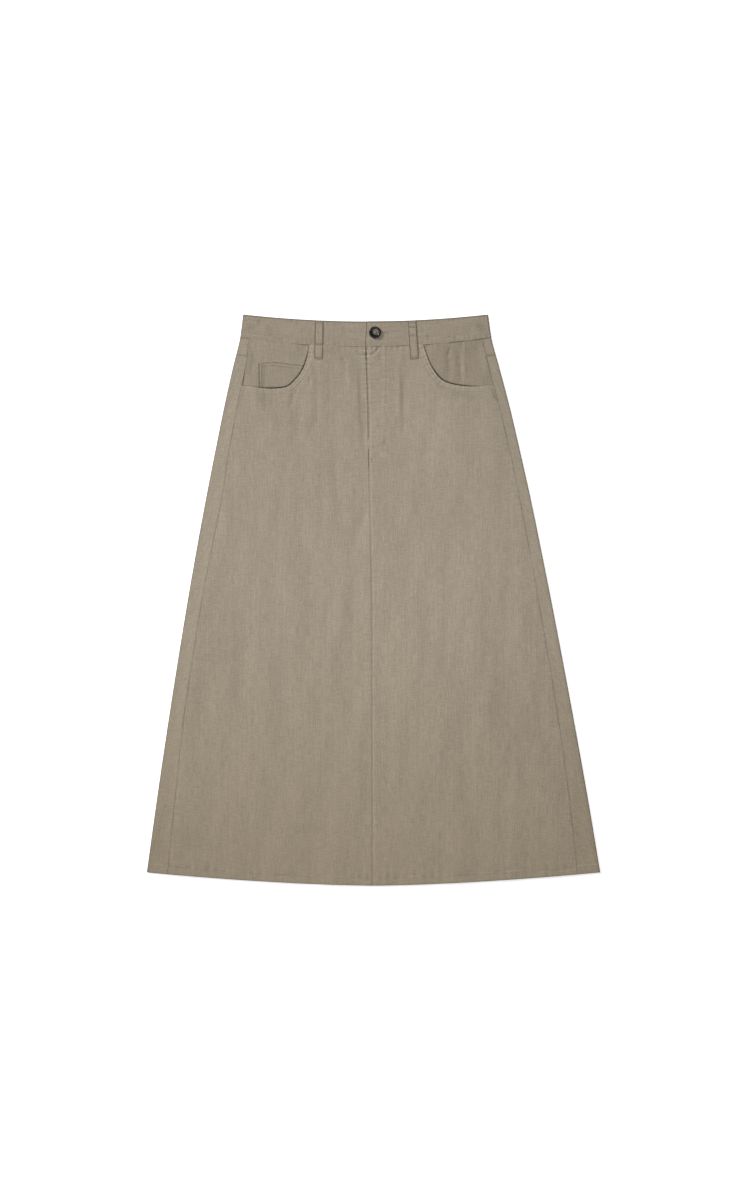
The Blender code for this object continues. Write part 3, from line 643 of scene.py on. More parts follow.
def linen_weave():
    """Plain weave of uneven yarns.

    Each yarn is the size of a sine across it, and the product of both sines lifts the warp
    over the weft in every other square, so the height is that of whichever yarn is higher.
    The colour is the yarn's, made lighter and darker by narrow noise along both, slubs, a faint
    diagonal where the yarns beat together, and wide soft mottling, and darkened by painted shade
    between the yarns and wherever the piece's painted shade is given. Towards the hem it is painted
    a little darker and yellower, as shade where the light falls off.
    """
    group = bpy.data.node_groups.new("linen_weave", "ShaderNodeTree")
    taken = {"Grain": "Vector", "Yarn": "Color", "Slub": "Float", "Painted Shade": "Float"}
    put_out = {"Color": "Color", "Height": "Float", "Roughness": "Float"}
    for way, sockets in (("INPUT", taken), ("OUTPUT", put_out)):
        for socket, kind in sockets.items():
            group.interface.new_socket(socket, in_out=way, socket_type="NodeSocket" + kind)
    given = group.nodes.new("NodeGroupInput").outputs

    def calc(operation, *values):
        """The result of a Math node in this group."""
        return worked(group, operation, *values)

    apart = node(group, "SeparateXYZ", {0: given["Grain"]}).outputs
    waves = [calc("SINE", calc("MULTIPLY", apart[axis], np.pi / (YARN_PITCH * MM))) for axis in (0, 1)]
    over = calc("MULTIPLY", *waves)
    warp, weft = (calc("ABSOLUTE", wave) for wave in waves)
    warp = calc("MULTIPLY_ADD", warp, YARN_ROUND, over)
    weft = calc("SUBTRACT", calc("MULTIPLY", weft, YARN_ROUND), over)
    weave = calc("SUBTRACT", calc("MAXIMUM", warp, weft), YARN_ROUND)

    parts = {name: yarn_noise(group, given["Grain"], *sizes[:4]) for name, sizes in UNEVEN.items()}
    parts["slub"] = calc("MAXIMUM", calc("SUBTRACT", parts["slub"], SLUB_OVER), 0.0)
    lean = calc("ADD", calc("MULTIPLY", apart[0], BEAT_LEAN), apart[1])
    beat = calc("SINE", calc("MULTIPLY", lean, 2 * np.pi / (BEAT_PITCH * MM)))
    beat_shows = calc("ADD", yarn_noise(group, given["Grain"], *BEAT), BEAT_UNDER)
    beat = calc("MULTIPLY", beat, calc("MAXIMUM", beat_shows, 0.0))
    change = 0.0
    for name, sizes in UNEVEN.items():
        change = calc("MULTIPLY_ADD", parts[name], sizes[4], change)
    change = calc("MULTIPLY_ADD", beat, BEAT_STRENGTH, change)
    change = calc("MULTIPLY_ADD", weave, WEAVE_STRENGTH[0], change)
    change = calc("MULTIPLY_ADD", change, given["Slub"], 1.0)
    change = calc("MULTIPLY", change, calc("MULTIPLY_ADD", given["Painted Shade"], PAINTED_SHADE_DARK, 1.0))
    tinted = node(group, "VectorMath", {0: given["Yarn"], "Scale": change}, operation="SCALE")
    lower = {"Value": apart[1], "From Min": PAINTED_HEM_SHADE_FROM_TO[0], "From Max": PAINTED_HEM_SHADE_FROM_TO[1]}
    lower = node(group, "MapRange", lower).outputs[0]
    hem_shade_tint = node(group, "Mix", {0: lower, 6: (1, 1, 1, 1), 7: PAINTED_HEM_SHADE}, data_type="RGBA").outputs[2]

    height = calc("MULTIPLY", weave, WEAVE_STRENGTH[1])
    for name, strength in RAISED.items():
        height = calc("MULTIPLY_ADD", parts[name], strength, height)
    rough = calc("MULTIPLY_ADD", parts["fleck"], ROUGH[1], ROUGH[0])
    tinted = vector(group, "MULTIPLY", tinted.outputs[0], hem_shade_tint)
    result = {"Color": tinted, "Height": height, "Roughness": rough}
    feed(group, group.nodes.new("NodeGroupOutput"), result)
    return group


LINEN = linen_weave()


def cloth_material(name, colour, slub=1.0, unrolled=True):
    """Matt linen: the weave group gives its colour with painted shade, its roughness and raised yarns."""
    material, tree, shader = new_material(name)
    grain = node(tree, "UVMap", uv_map="grain").outputs[0]
    if not unrolled:
        grain = node(tree, "TexCoord").outputs["Object"]
    shades = [node(tree, "Attribute", attribute_name=kept) for kept in ("painted_shade", "gap", "from_gap")]
    painted_shade, gap, from_gap = (shade.outputs["Fac"] for shade in shades)
    fading = worked(tree, "MULTIPLY", worked(tree, "MULTIPLY", from_gap, from_gap), -1.0)
    painted_shade = worked(tree, "MULTIPLY_ADD", gap, worked(tree, "EXPONENT", fading), painted_shade)
    inputs = {"Grain": grain, "Painted Shade": painted_shade, "Yarn": (*colour, 1), "Slub": slub}
    weave = node(tree, "Group", inputs, node_tree=LINEN).outputs
    raised = node(tree, "Bump", {"Height": weave["Height"], "Strength": 0.5, "Distance": 0.12 * MM})
    finish = {"Base Color": weave["Color"], "Roughness": weave["Roughness"], "Normal": raised.outputs[0]}
    finish |= {"Specular IOR Level": 0.25, "Sheen Weight": 0.12, "Sheen Roughness": 0.6}
    feed(tree, shader, finish)
    return material


SKIRT_CLOTH = cloth_material("skirt_cloth", (0.344, 0.291, 0.222))


def graded(length, count, crowding):
    """Places from 0 to length whose spacing grows steadily: a mix of t and t squared."""
    t = np.linspace(0, 1, count)
    return length * (crowding * t + (1 - crowding) * t * t)


def with_rims(length, count, crowding=1.0):
    """Places from 0 to length, with fixed fine ones beside both ends."""
    inner = RIM_LINES[-1] + graded(length - 2 * RIM_LINES[-1], count, crowding)
    return np.concatenate([RIM_LINES[:-1], inner, length - RIM_LINES[-2::-1]])


def centre_across(side_name, down):
    """Across value of a front panel's centre edge, with the right panel's underlap."""
    line = laid("front_line", down)
    if side_name == "right":
        line = line + PANEL_UNDERLAP * (1 - ease(down, UNDERLAP_TAPER * FLY_DEPTH, FLY_DEPTH))
    return across_of(line, down)


PANEL_COLUMNS = 140
PANEL_ROWS = 245
PANEL_CROWDING = (0.75, 0.42)  # of its columns and rows
HEM_ROWS = np.array([-0.7, -0.2, 0.2, 0.7, 1.5, 3, 5.5])
TURNED_EDGE = (9, 13)  # where the turned-in cloth ends
TURNED_FLY = (30, 36)
# Where the painted shadow in the centre front's gap lies
CENTRE_GAP = {"right": (-0.5, 0.75), "left": (0.2, 0.5)}  # beside the centre line, and its width
# Painted shade in the hollows of the puckers
PUCKER_SHADE = 1.1  # how much darker a pucker's hollow is, for each millimetre
# Lines of painted shade, each with how dark it is, or how pale where it is a painted highlight, and how
# wide
SEAM_SHADE = (0.85, 0.9)
WAIST_SHADE_WIDTH = 1.2
MOUTH_SHADE = (0.5, 0.5)
HEM_SHADE = (0.9, 1.3)
HEM_ROW_SHADE = (0.5, 1.6)
# Painted highlights beside a pocket mouth, where the turned edge catches the light
TURNED_PALER = {2.4: (0.35, 1.2), 6.3: (0.20, 1.2)}  # this far from a mouth
# A painted highlight beside the lap's rounded edge, where it catches the light
LAP_PALER = (0.25, 1.1)
LAP_PALER_AT = 2.4  # from the centre line
PANEL_GRAIN_SHIFT = 3.3  # keeps the panels' yarns from meeting at the centre


SEAM_LEAST = 0.35  # what stays of a side seam's shade where it is faintest


def seam_shade(from_seam, down):
    """The painted shade of a side seam's dark line, stronger here and fainter there."""
    return line_shade(from_seam, *SEAM_SHADE) * (SEAM_LEAST + (1 - SEAM_LEAST) * patchy(down))


def front_panel(side_name):
    """A front panel, its columns running from the waistband or pocket mouth to the hem."""
    side = SIDES[side_name]
    top = BAND_HEIGHT
    centre_top = centre_across(side_name, top)
    start_across, _ = mouth_at(side_name, 0.0)
    along_band = np.abs(start_across - centre_top) * half(top)
    along_mouth = np.hypot(*np.diff(MOUTH_LINES[side_name])).sum()
    at = with_rims(along_band + along_mouth, PANEL_COLUMNS, PANEL_CROWDING[0])
    at[np.abs(at - along_band).argmin()] = along_band
    on_band = centre_top + (start_across - centre_top) * np.clip(at / along_band, 0, 1)
    mouth_across, mouth_down = mouth_at(side_name, np.clip((at - along_band) / along_mouth, 0, 1))
    top_across = np.where(at <= along_band, on_band, mouth_across)
    top_down = np.where(at <= along_band, top, mouth_down)

    # Rows keep a share of each column above the hem's stitching, and are level in the hem.
    height = HEM_LINE - top
    above = graded(height - RIM_LINES[-1] - 1.5, PANEL_ROWS, PANEL_CROWDING[1]) + RIM_LINES[-1]
    travel = np.concatenate([RIM_LINES[:-1], above])[:, None] / height
    down = top_down + (HEM_LINE - top_down) * travel
    hem = np.concatenate([HEM_LINE + HEM_ROWS, LAID_LENGTH - RIM_LINES[::-1]])[:, None]
    down = np.concatenate([down, np.broadcast_to(hem, (len(hem), len(top_down)))])
    travel = np.concatenate([travel, np.ones_like(hem)])

    centre = centre_across(side_name, down)
    seam = seam_across(side_name, down)
    share_top = np.clip((top_across - centre[0]) / (seam[0] - centre[0]), 0, 1)
    hem_width = np.abs(seam[-1, -1] - centre[-1, 0]) * half(LAID_LENGTH)
    share_hem = with_rims(hem_width, PANEL_COLUMNS, PANEL_CROWDING[0]) / hem_width
    across = centre + (share_top + (share_hem - share_top) * travel) * (seam - centre)

    x, y = plan(across, down)
    z = front_height(side_name, across, down)
    from_mouth, _ = beside(*MOUTH_LINES[side_name], x, y)
    from_centre = np.abs(across - centre) * half(down)
    from_seam = np.abs(across - seam) * half(down)
    from_hem = LAID_LENGTH - down
    from_joined = np.where(down < FLY_DEPTH, from_centre, from_centre + SEWN / 2)
    from_edge = nearest(from_mouth, from_joined, from_seam + SEWN, down - top + SEWN, from_hem)
    turned_in = 1 - ease(nearest(from_mouth, from_hem), *TURNED_EDGE)
    if side_name == "left":
        turned_in = np.maximum(turned_in, 1 - ease(from_centre, *TURNED_FLY))
    offset, gap_width = CENTRE_GAP[side_name]
    from_line = x - laid("front_line", down) - offset
    at_waist = line_shade(down - top, shown(WAIST_SEAM_SHOWS, x), WAIST_SHADE_WIDTH)
    at_edges = darkest(line_shade(from_mouth, *MOUTH_SHADE), line_shade(from_hem, *HEM_SHADE))
    painted_shade = darkest(seam_shade(from_seam, down), at_waist, at_edges)
    for away, paler in TURNED_PALER.items():
        painted_shade = painted_shade - line_shade(from_mouth - away, *paler)
    painted_shade = painted_shade + line_shade(HEM_LINE + 0.4 - down, *HEM_ROW_SHADE) * patchy(x + 40)
    if side_name == "left":
        painted_shade = painted_shade - line_shade(from_line - LAP_PALER_AT, *LAP_PALER)
    painted_shade = painted_shade + line_relief(PAINTED_SHADES, x, y) - PUCKER_SHADE * front_puckers(side_name, across, down)
    wall = CLOTH_WALL + TURNED_WALL * turned_in
    gap = (shown(CENTRE_SHOWS, down), from_line / gap_width)
    name = "front_panel_cloth_" + side_name
    mesh = cloth_shell(name, x, y, z, (x, y + side * PANEL_GRAIN_SHIFT), wall, from_edge, painted_shade, gap)
    return placed(name, mesh, SKIRT_CLOTH, "front_panel_" + side_name)


front_panels = {side_name: front_panel(side_name) for side_name in SIDES}

STITCH_PITCH = 3.2
STITCH_SHARE = 0.74
THREAD_RADIUS = 0.24
THREAD_SIDES = 6
HEM_ROW = HEM_LINE + 1.4  # the row that holds the hem
HEM_ROW_SUNK = 0.12
HEM_ROW_ARCH = 0.05
SEAM_ROWS = (1.6, 4.4)  # the short rows beside a side seam, below the mouth
SEAM_ROWS_RUN = (1, 26)
SIDE_TACK = (5.5, 1.7)  # width and height of a bar tack
FLY_TACK = (1.8, 6.0)
FLY_TACK_OFF = (2.5, 0.5)
THREAD_COLOUR = (0.330, 0.280, 0.214)
PLY_TURNS = 9000
FLUFF_SCALE = 900.0


def place_of(x, y):
    """Across and down of an X and Y, found by letting each correct the other a few times."""
    down = WAIST_Y - np.asarray(y, float)
    for _ in range(12):
        across = across_of(x, down)
        down = WAIST_Y - y - hanging(np.clip(np.abs(across), 0, 1), down)
    return across, down


def ring_quads(index):
    """Faces between each row of points and the next, closed round the last axis."""
    after = np.roll(index, -1, axis=-1)
    corners = [index[..., :-1, :], index[..., 1:, :], after[..., 1:, :], after[..., :-1, :]]
    return np.stack(corners, axis=-1).reshape(-1, 4)


def threads(starts, ends, up=1.0, radius=THREAD_RADIUS, arch=0.1):
    """Points and faces of short threads that rise out of the cloth and go back in.

    Each is a tube of four rings about the line from its start to its end. Its first and
    last rings are lower and thinner, and its ends are closed.
    """
    run = ends - starts
    ahead = run / np.linalg.norm(run, axis=-1, keepdims=True)
    above = np.array([0, 0, up])
    aside = np.cross(ahead, above)
    turn = np.arange(THREAD_SIDES) / THREAD_SIDES * 2 * np.pi
    share = np.array([0.0, 0.3, 0.7, 1.0])[:, None, None]
    lift = np.array([-1.0, 1.0, 1.0, -1.0])[:, None, None] * arch
    thick = np.array([0.7, 1.0, 1.0, 0.7])[:, None, None] * radius
    round_about = aside[:, None, None] * np.cos(turn)[:, None] + above * np.sin(turn)[:, None]
    points = starts[:, None, None] + share * run[:, None, None] + lift * above + thick * round_about
    index = np.arange(points.size // 3).reshape(-1, 4, THREAD_SIDES)
    first = index[:, 0][:, [[0, 1, 2, 3], [0, 3, 4, 5]]].reshape(-1, 4)
    last = index[:, -1][:, [[3, 2, 1, 0], [5, 4, 3, 0]]].reshape(-1, 4)
    return points.reshape(-1, 3), np.concatenate([ring_quads(index), first, last])


def along_path(path, at):
    """Points at these travels along a polyline of points, and its length."""
    travel = np.concatenate([[0], np.cumsum(np.linalg.norm(np.diff(path, axis=0), axis=1))])
    return np.stack([np.interp(at, travel, column) for column in path.T], axis=-1), travel[-1]


def stitch_row(x, y, z, up=1.0, pitch=STITCH_PITCH, arch=0.18):
    """A row of stitches along a path, evenly spread."""
    path = np.stack(np.broadcast_arrays(x, y, z), axis=-1).astype(float)
    _, length = along_path(path, 0.0)
    count = max(1, round(length / pitch))
    begin = (np.arange(count) + (1 - STITCH_SHARE) / 2) * length / count
    starts, _ = along_path(path, begin)
    ends, _ = along_path(path, begin + STITCH_SHARE * length / count)
    return threads(starts, ends, up, arch=arch)


def bar_tack(x, y, z, width, height, turn=0.0, count=12):
    """Close stitches side by side across a width, each as long as the tack is high."""
    aside = np.array([np.cos(turn), np.sin(turn), 0])
    ahead = np.array([-np.sin(turn), np.cos(turn), 0])
    middle = np.array([x, y, z]) + np.linspace(-0.5, 0.5, count)[:, None] * width * aside
    return threads(middle - ahead * height / 2, middle + ahead * height / 2, arch=0.12)


def sewing(name, rows):
    """One piece of all these rows of thread."""
    counts = np.cumsum([0] + [len(points) for points, _ in rows[:-1]])
    points = np.concatenate([points for points, _ in rows])
    quads = np.concatenate([quads + count for (_, quads), count in zip(rows, counts)])
    return placed(name, quad_mesh(name, points, quads), THREAD)


def thread_material():
    """Tonal cotton thread: its plies show as a fine diagonal stripe."""
    material, tree, shader = new_material("thread")
    place = node(tree, "TexCoord").outputs["Object"]
    lean = node(tree, "VectorMath", {0: place, 1: (PLY_TURNS,) * 3}, operation="DOT_PRODUCT")
    ply = worked(tree, "SINE", lean.outputs["Value"])
    fluff = node(tree, "TexNoise", {"Vector": place, "Scale": FLUFF_SCALE, "Detail": 2.0}).outputs[0]
    light = worked(tree, "MULTIPLY_ADD", fluff, 0.5, worked(tree, "MULTIPLY_ADD", ply, 0.08, 0.72))
    tinted = node(tree, "VectorMath", {0: THREAD_COLOUR, "Scale": light}, operation="SCALE")
    rough = worked(tree, "MULTIPLY_ADD", fluff, 0.2, 0.5)
    feed(tree, shader, {"Base Color": tinted.outputs[0], "Roughness": rough, "Sheen Weight": 0.15})
    return material


THREAD = thread_material()


def on_front(side_name, x, y):
    """A path on a front panel, from its X and Y."""
    return x, y, front_height(side_name, *place_of(x, y))


def along_front(side_name, across, down):
    """The same from its across and down values."""
    return *plan(across, down), front_height(side_name, across, down)


def offset_line(x, y, away):
    """A polyline moved sideways, to its left where away is positive."""
    run_x = np.gradient(x)
    run_y = np.gradient(y)
    length = np.hypot(run_x, run_y)
    return x - run_y / length * away, y + run_x / length * away


def front_sewing(side_name):
    """The mouth's two rows, the hem, the short side-seam rows and their tack, and the fly."""
    side = SIDES[side_name]
    rows = []
    for away in MOUTH_ROWS:
        line_x, line_y = offset_line(*MOUTH_LINES[side_name], side * -away)
        _, down = place_of(line_x, line_y)
        in_seam = np.abs(across_of(line_x, down)) < np.abs(seam_across(side_name, down)) - 0.006
        kept = (down > BAND_HEIGHT + 0.5) & in_seam
        rows.append(stitch_row(*on_front(side_name, line_x[kept], line_y[kept])))

    hem_ends = (centre_across(side_name, HEM_ROW), seam_across(side_name, HEM_ROW))
    x, y, z = along_front(side_name, np.linspace(*hem_ends, 120)[1:-1], HEM_ROW)
    rows.append(stitch_row(x, y, z - HEM_ROW_SUNK, arch=HEM_ROW_ARCH))

    _, mouth_end = mouth_at(side_name, 1.0)
    down = mouth_end + np.linspace(*SEAM_ROWS_RUN, 12)
    for inward in SEAM_ROWS:
        across = seam_across(side_name, down) - side * inward / half(down)
        rows.append(stitch_row(*along_front(side_name, across, down)))
    tack_x, tack_y = plan(seam_across(side_name, mouth_end + 1.5), mouth_end + 1.5)
    rows.append(bar_tack(*on_front(side_name, tack_x - side * 3, tack_y), *SIDE_TACK))

    if side_name == "left":
        down = np.linspace(BAND_HEIGHT + 1.5, LAID_LENGTH - 1, 500)
        across = across_of(laid("front_line", down) + CENTRE_ROW, down)
        rows.append(stitch_row(*along_front(side_name, across, down)))
        corners = np.linspace(0, 1, len(FLY_STITCH))
        curve = [through(corners, column, np.linspace(0, 1, 90)) for column in FLY_STITCH.T]
        rows.append(stitch_row(*on_front(side_name, *curve)))
        foot = on_front(side_name, *(FLY_STITCH[-1] + FLY_TACK_OFF))
        rows.append(bar_tack(*foot, *FLY_TACK, turn=0.2, count=5))
    return sewing("front_sewing_" + side_name, rows)


FRONT_CUTS = {"right": ((0.345, 0.873), 0.226), "left": ((0.330, 0.873), 0.220)}
for side_name, (cut, cut_area) in FRONT_CUTS.items():
    front_sewing(side_name)

# --- Back panels and yokes ----------------------------------------------------------
# Two panels and a two-part yoke of the same cloth. They lie on the table, wrap up round
# both folded sides and meet the front panels at the side seams. The yoke seams form a
# shallow V, and the panels are joined at the centre back.

ROLL = 2.2
BACK_LIFT = 0.2  # leaves room for the thread under the lowest cloth
YOKE_AT_FOLD = 64.0
YOKE_AT_CENTRE = 100.0
BACK_CREASES = strokes([
    (-150, 300, -138, 205, 9, 0.35), (-60, 240, -72, 120, 7, 0.30), (34, 290, 40, 180, 8, 0.30),
    (128, 262, 150, 150, 9, 0.35), (-215, 40, -224, -130, 12, 0.30), (-96, 10, -88, -170, 11, 0.35),
    (22, -40, 30, -200, 9, 0.30), (176, 30, 196, -140, 12, 0.35), (-255, -250, -262, -400, 12, 0.30),
    (-120, -260, -110, -420, 13, 0.30), (84, -240, 90, -400, 12, 0.35), (262, -230, 274, -390, 12, 0.30),
    (-40, 330, -24, 322, 3, 0.25), (70, 340, 88, 333, 3, 0.25),
])

BACK_FLAT_COUNT = 34
ROLL_COUNT = 9
STRIP_COUNT = 9
WIDEST_FLAT = 300.0  # both only space its columns
USUAL_STRIP = 22.0
flat_stations = with_rims(WIDEST_FLAT, BACK_FLAT_COUNT)[: 1 - len(RIM_LINES)]
roll_stations = np.linspace(1, 2, ROLL_COUNT)[1:]
strip_stations = with_rims(USUAL_STRIP * 2, STRIP_COUNT)[: len(RIM_LINES) + STRIP_COUNT // 2]
strip_stations = (3 - strip_stations / USUAL_STRIP)[::-1]
strip_stations = strip_stations[strip_stations > 2.02]
BACK_STATIONS = np.concatenate([flat_stations / flat_stations[-1], roll_stations, strip_stations])


def rolled(turn, top):
    """Height on a folded side: half an ellipse from the table at 0 to its top at pi."""
    return BACK_LIFT + (top - BACK_LIFT) * (1 - np.cos(turn)) / 2


def wrapped_skin(side_name, station, down):
    """Outer skin of a back piece, and how far round it a place lies.

    Stations 0 to 1 lie on the table from the centre back to the fold, 1 to 2 turn half
    an ellipse round it, and 2 to 3 lie on top as far as the side seam.
    """
    side = SIDES[side_name]
    strip = laid(side_name + "_strip", down)
    on_flat, round_fold, on_strip = (np.clip(station - first, 0, 1) for first in range(3))
    inward = half(down) * (1 - on_flat) + ROLL * on_flat
    inward = inward - ROLL * np.sin(np.pi * round_fold) + (strip - ROLL) * on_strip
    across = side * (1 - inward / half(down))
    x, y = plan(across, down)
    fades = ease(inward, *RELIEF_REACH)
    sunk = line_relief(BACK_CREASES, x, y) + np.abs(ripples(x, y, seed=23))
    roll = rolled(np.pi * round_fold, upper_form(side * (1 - ROLL / half(down)), down))
    top = upper_height(across, down) + seam_puckers(side_name, across, down) * fades
    z = np.where(station > 2, top, np.where(station > 1, roll, BACK_LIFT + sunk * fades))
    return x, y, z, half(down) * on_flat + np.pi * ROLL * round_fold + strip * on_strip


# How much paler the cloth is between fold and side seam, by its down value
STRIP_PALER = {
    "right": [(150, 0.12), (250, 0.21), (450, 0.18), (780, 0.14), (860, 0.03)],
    "left": [(0, 0.04), (150, 0.08), (280, 0.14), (440, 0.17), (600, 0.11), (780, 0.02)],
}
# Painted shade along the folded sides, where the roll turns away from the light, and down the centre back
FOLD_SHADE = {"right": (1.5, 1.5), "left": (0.5, 1.5)}
CENTRE_BACK_SHADE = (0.8, 0.9)
FAR = 99.0  # stands for the distance to an edge on the other layer
BACK_GRAIN_START = 700.0  # each piece has its own place in the weave
STRIP_CLOTH = cloth_material("strip_cloth", (0.330, 0.279, 0.212))


def back_piece(kind, side_name, down, start_shade, end_shade, end_sewn):
    """A back piece over these rows, the first and last of which are its upper and lower edge."""
    station = np.broadcast_to(BACK_STATIONS, down.shape)
    x, y, z, run = wrapped_skin(side_name, station, down)
    across = across_of(x, down)
    from_centre = np.where(station < 1.5, np.abs(x - laid("sway", down)), FAR)
    from_seam = np.where(station > 1.5, from_side_seam(side_name, across, down), FAR)
    from_start = np.abs(down - down[0])
    from_end = np.abs(down[-1] - down)
    from_edge = nearest(from_centre + SEWN, from_seam + SEWN, from_start + SEWN, from_end + end_sewn)
    wall = CLOTH_WALL + TURNED_WALL * (1 - ease(LAID_LENGTH - down, *TURNED_EDGE))
    at_seams = darkest(seam_shade(from_seam, down), line_shade(from_centre, *CENTRE_BACK_SHADE))
    at_ends = darkest(line_shade(from_start, *start_shade), line_shade(from_end, *end_shade))
    at_fold = line_shade(from_fold(across, down), *FOLD_SHADE[side_name]) * (station > 1.2)
    painted_shade = darkest(at_seams, at_ends, at_fold)
    painted_shade = painted_shade - shown(STRIP_PALER[side_name], down) * (station > 1.5)
    name = kind + "_cloth_" + side_name
    grain = (run * SIDES[side_name] + BACK_GRAIN_START, y)
    mesh = cloth_shell(name, x, y, z, grain, wall, from_edge, painted_shade)
    return placed(name, mesh, STRIP_CLOTH, kind + "_" + side_name)


# The painted shade at a piece's upper and lower edge, and how much further off its lower one rounds
YOKE_EDGES = ((0.5, 1.0), (0.3, 1.2), SEWN)
PANEL_EDGES = ((1.0, 1.0), (0.9, 1.2), 0.0)
YOKE_ROWS = 22
BACK_ROWS = 180
BACK_HEM_ROWS = np.array([-2, -0.7, -0.2, 0.2, 0.7, 2, 5])  # beside the hem's stitching
USUAL_DROP = 800.0  # only spaces its first rows


def yoke_seam_down(station):
    """The back yoke's lower seam: a shallow V, level where it wraps round the fold."""
    return YOKE_AT_CENTRE + (YOKE_AT_FOLD - YOKE_AT_CENTRE) * np.clip(station, 0, 1)


def yoke_rows():
    """Down values over a yoke, at every station."""
    travel = with_rims(100.0, YOKE_ROWS)[:, None] / 100.0
    return BAND_HEIGHT + (yoke_seam_down(BACK_STATIONS) - BAND_HEIGHT) * travel


def back_rows():
    """Down values over a back panel, at every station: level rows in the hem, even above it."""
    top = yoke_seam_down(BACK_STATIONS)
    fine = RIM_LINES / USUAL_DROP
    travel = np.concatenate([fine[:-1], np.linspace(fine[-1], 1, BACK_ROWS)])[:, None]
    hem = np.concatenate([HEM_LINE + BACK_HEM_ROWS, LAID_LENGTH - RIM_LINES[::-1]])[:, None]
    hem = np.broadcast_to(hem, (len(hem), len(top)))
    return np.concatenate([top + (HEM_LINE - 3 - top) * travel, hem])


for side_name in SIDES:
    back_piece("back_yoke", side_name, yoke_rows(), *YOKE_EDGES)
    back_piece("back_panel", side_name, back_rows(), *PANEL_EDGES)

YOKE_SEAM_ROWS = (-1.8, -7.0)  # topstitching, above the yoke seam
CENTRE_BACK_ROWS = (1.8, 7.0)  # and on the wearer's left of the centre back
UNDER_ROW = (0.004, 0.985)  # stations where a row on the back starts and ends
OVER_ROW = (2.04, 2.98)  # and one on top


def back_sewing(side_name):
    """Double rows along the yoke seam and the centre back, and the row that holds the hem."""
    under = np.linspace(*UNDER_ROW, 260)
    over = np.linspace(*OVER_ROW, 20)
    runs = [(under, yoke_seam_down(under) + row, -1.0) for row in YOKE_SEAM_ROWS]
    runs += [(under, HEM_ROW, -1.0), (over, HEM_ROW, 1.0), (over, YOKE_AT_FOLD + YOKE_SEAM_ROWS[0], 1.0)]
    if side_name == "left":
        on_yoke = np.linspace(BAND_HEIGHT + 1, YOKE_AT_CENTRE - 2, 40)
        on_panel = np.linspace(YOKE_AT_CENTRE + 3, LAID_LENGTH - 1, 400)
        for aside in CENTRE_BACK_ROWS:
            runs += [(aside / (half(down) - ROLL), down, -1.0) for down in (on_yoke, on_panel)]
    rows = [stitch_row(*wrapped_skin(side_name, *place)[:3], up=up) for *place, up in runs]
    return sewing("back_sewing_" + side_name, rows)


for side_name in SIDES:
    back_sewing(side_name)

# --- Pocket bags and coin pocket ----------------------------------------------------
# Each pocket's facing and bag are one flat piece of the same cloth behind the curved mouth,
# caught in the waist seam and the side seam. A small patch pocket for coins is sewn on the
# right one, its turned top edge just below the waistband.

BAG_CORNER = 28.0
BAG_CORNER_POWER = 4
BAG_DROP = 1.5
BAG_LEVEL_REACH = 14.0
BAG_LEVEL_DOWN = (78.0, 104.0)
WAIST_LEVEL_OUT = (97.0, 112.0)
WAIST_LEVEL_DOWN = (40.0, 68.0)
BAG_LENGTH = 150.0  # only spaces its rows and columns
BAG_COUNT = 84
BAG_WALL = 0.7
COIN_COUNT = 44
COIN_SEAT = 0.15
COIN_TOP_EDGE = np.array(
    [(95, 70.5), (112, 70), (126, 69.5), (138, 69), (150, 69.5), (162, 71.5), (171, 74.5)]
)
COIN_ROW = 3.8  # topstitching, in from its sides
COIN_TOP_ROW = 5.5  # and below its top edge
COIN_PUCKERS = (0.1, 6, 8)
# Lines of painted shade and painted highlight on both, as on the panels
BAG_SEAM_SHADE = (0.8, 1.0)
BAG_SEAM_LEAST = 0.3
BAG_WAIST_WIDTH = 1.3
BESIDE_COIN_SHADE = (1.3, 0.9)
COIN_EDGE_SHADE = (1.5, 0.8)
COIN_ROW_SHADE = (0.5, 0.7)
COIN_TOP_SHADE = (0.5, 0.8)
COIN_PALER = (0.3, 0.8)
COIN_DARKER = 0.09
BAG_GRAIN_START = (300.0, 120.0)
COIN_GRAIN_START = (480.0, 60.0)
BAG_CLOTHS = {
    "right": cloth_material("pocket_cloth_right", (0.331, 0.280, 0.213)),
    # The left bag's cloth is a darker copy of the right one's, as painted shade
    "left": cloth_material("pocket_cloth_left_painted_shade", (0.305, 0.256, 0.193)),
}


def bag_height(side_name, across, down):
    """The bag's face is level with the side seam at its edge and sinks below the panel."""
    from_seam = from_side_seam(side_name, across, down)
    at_seam = (1 - ease(from_seam, 0, BAG_LEVEL_REACH)) * (1 - ease(down, *BAG_LEVEL_DOWN))
    at_waist = ease(np.abs(across) * half(down), *WAIST_LEVEL_OUT) * (1 - ease(down, *WAIST_LEVEL_DOWN))
    height = upper_height(across, down) - BAG_DROP * (1 - np.maximum(at_seam, at_waist))
    return height + seam_puckers(side_name, across, down)


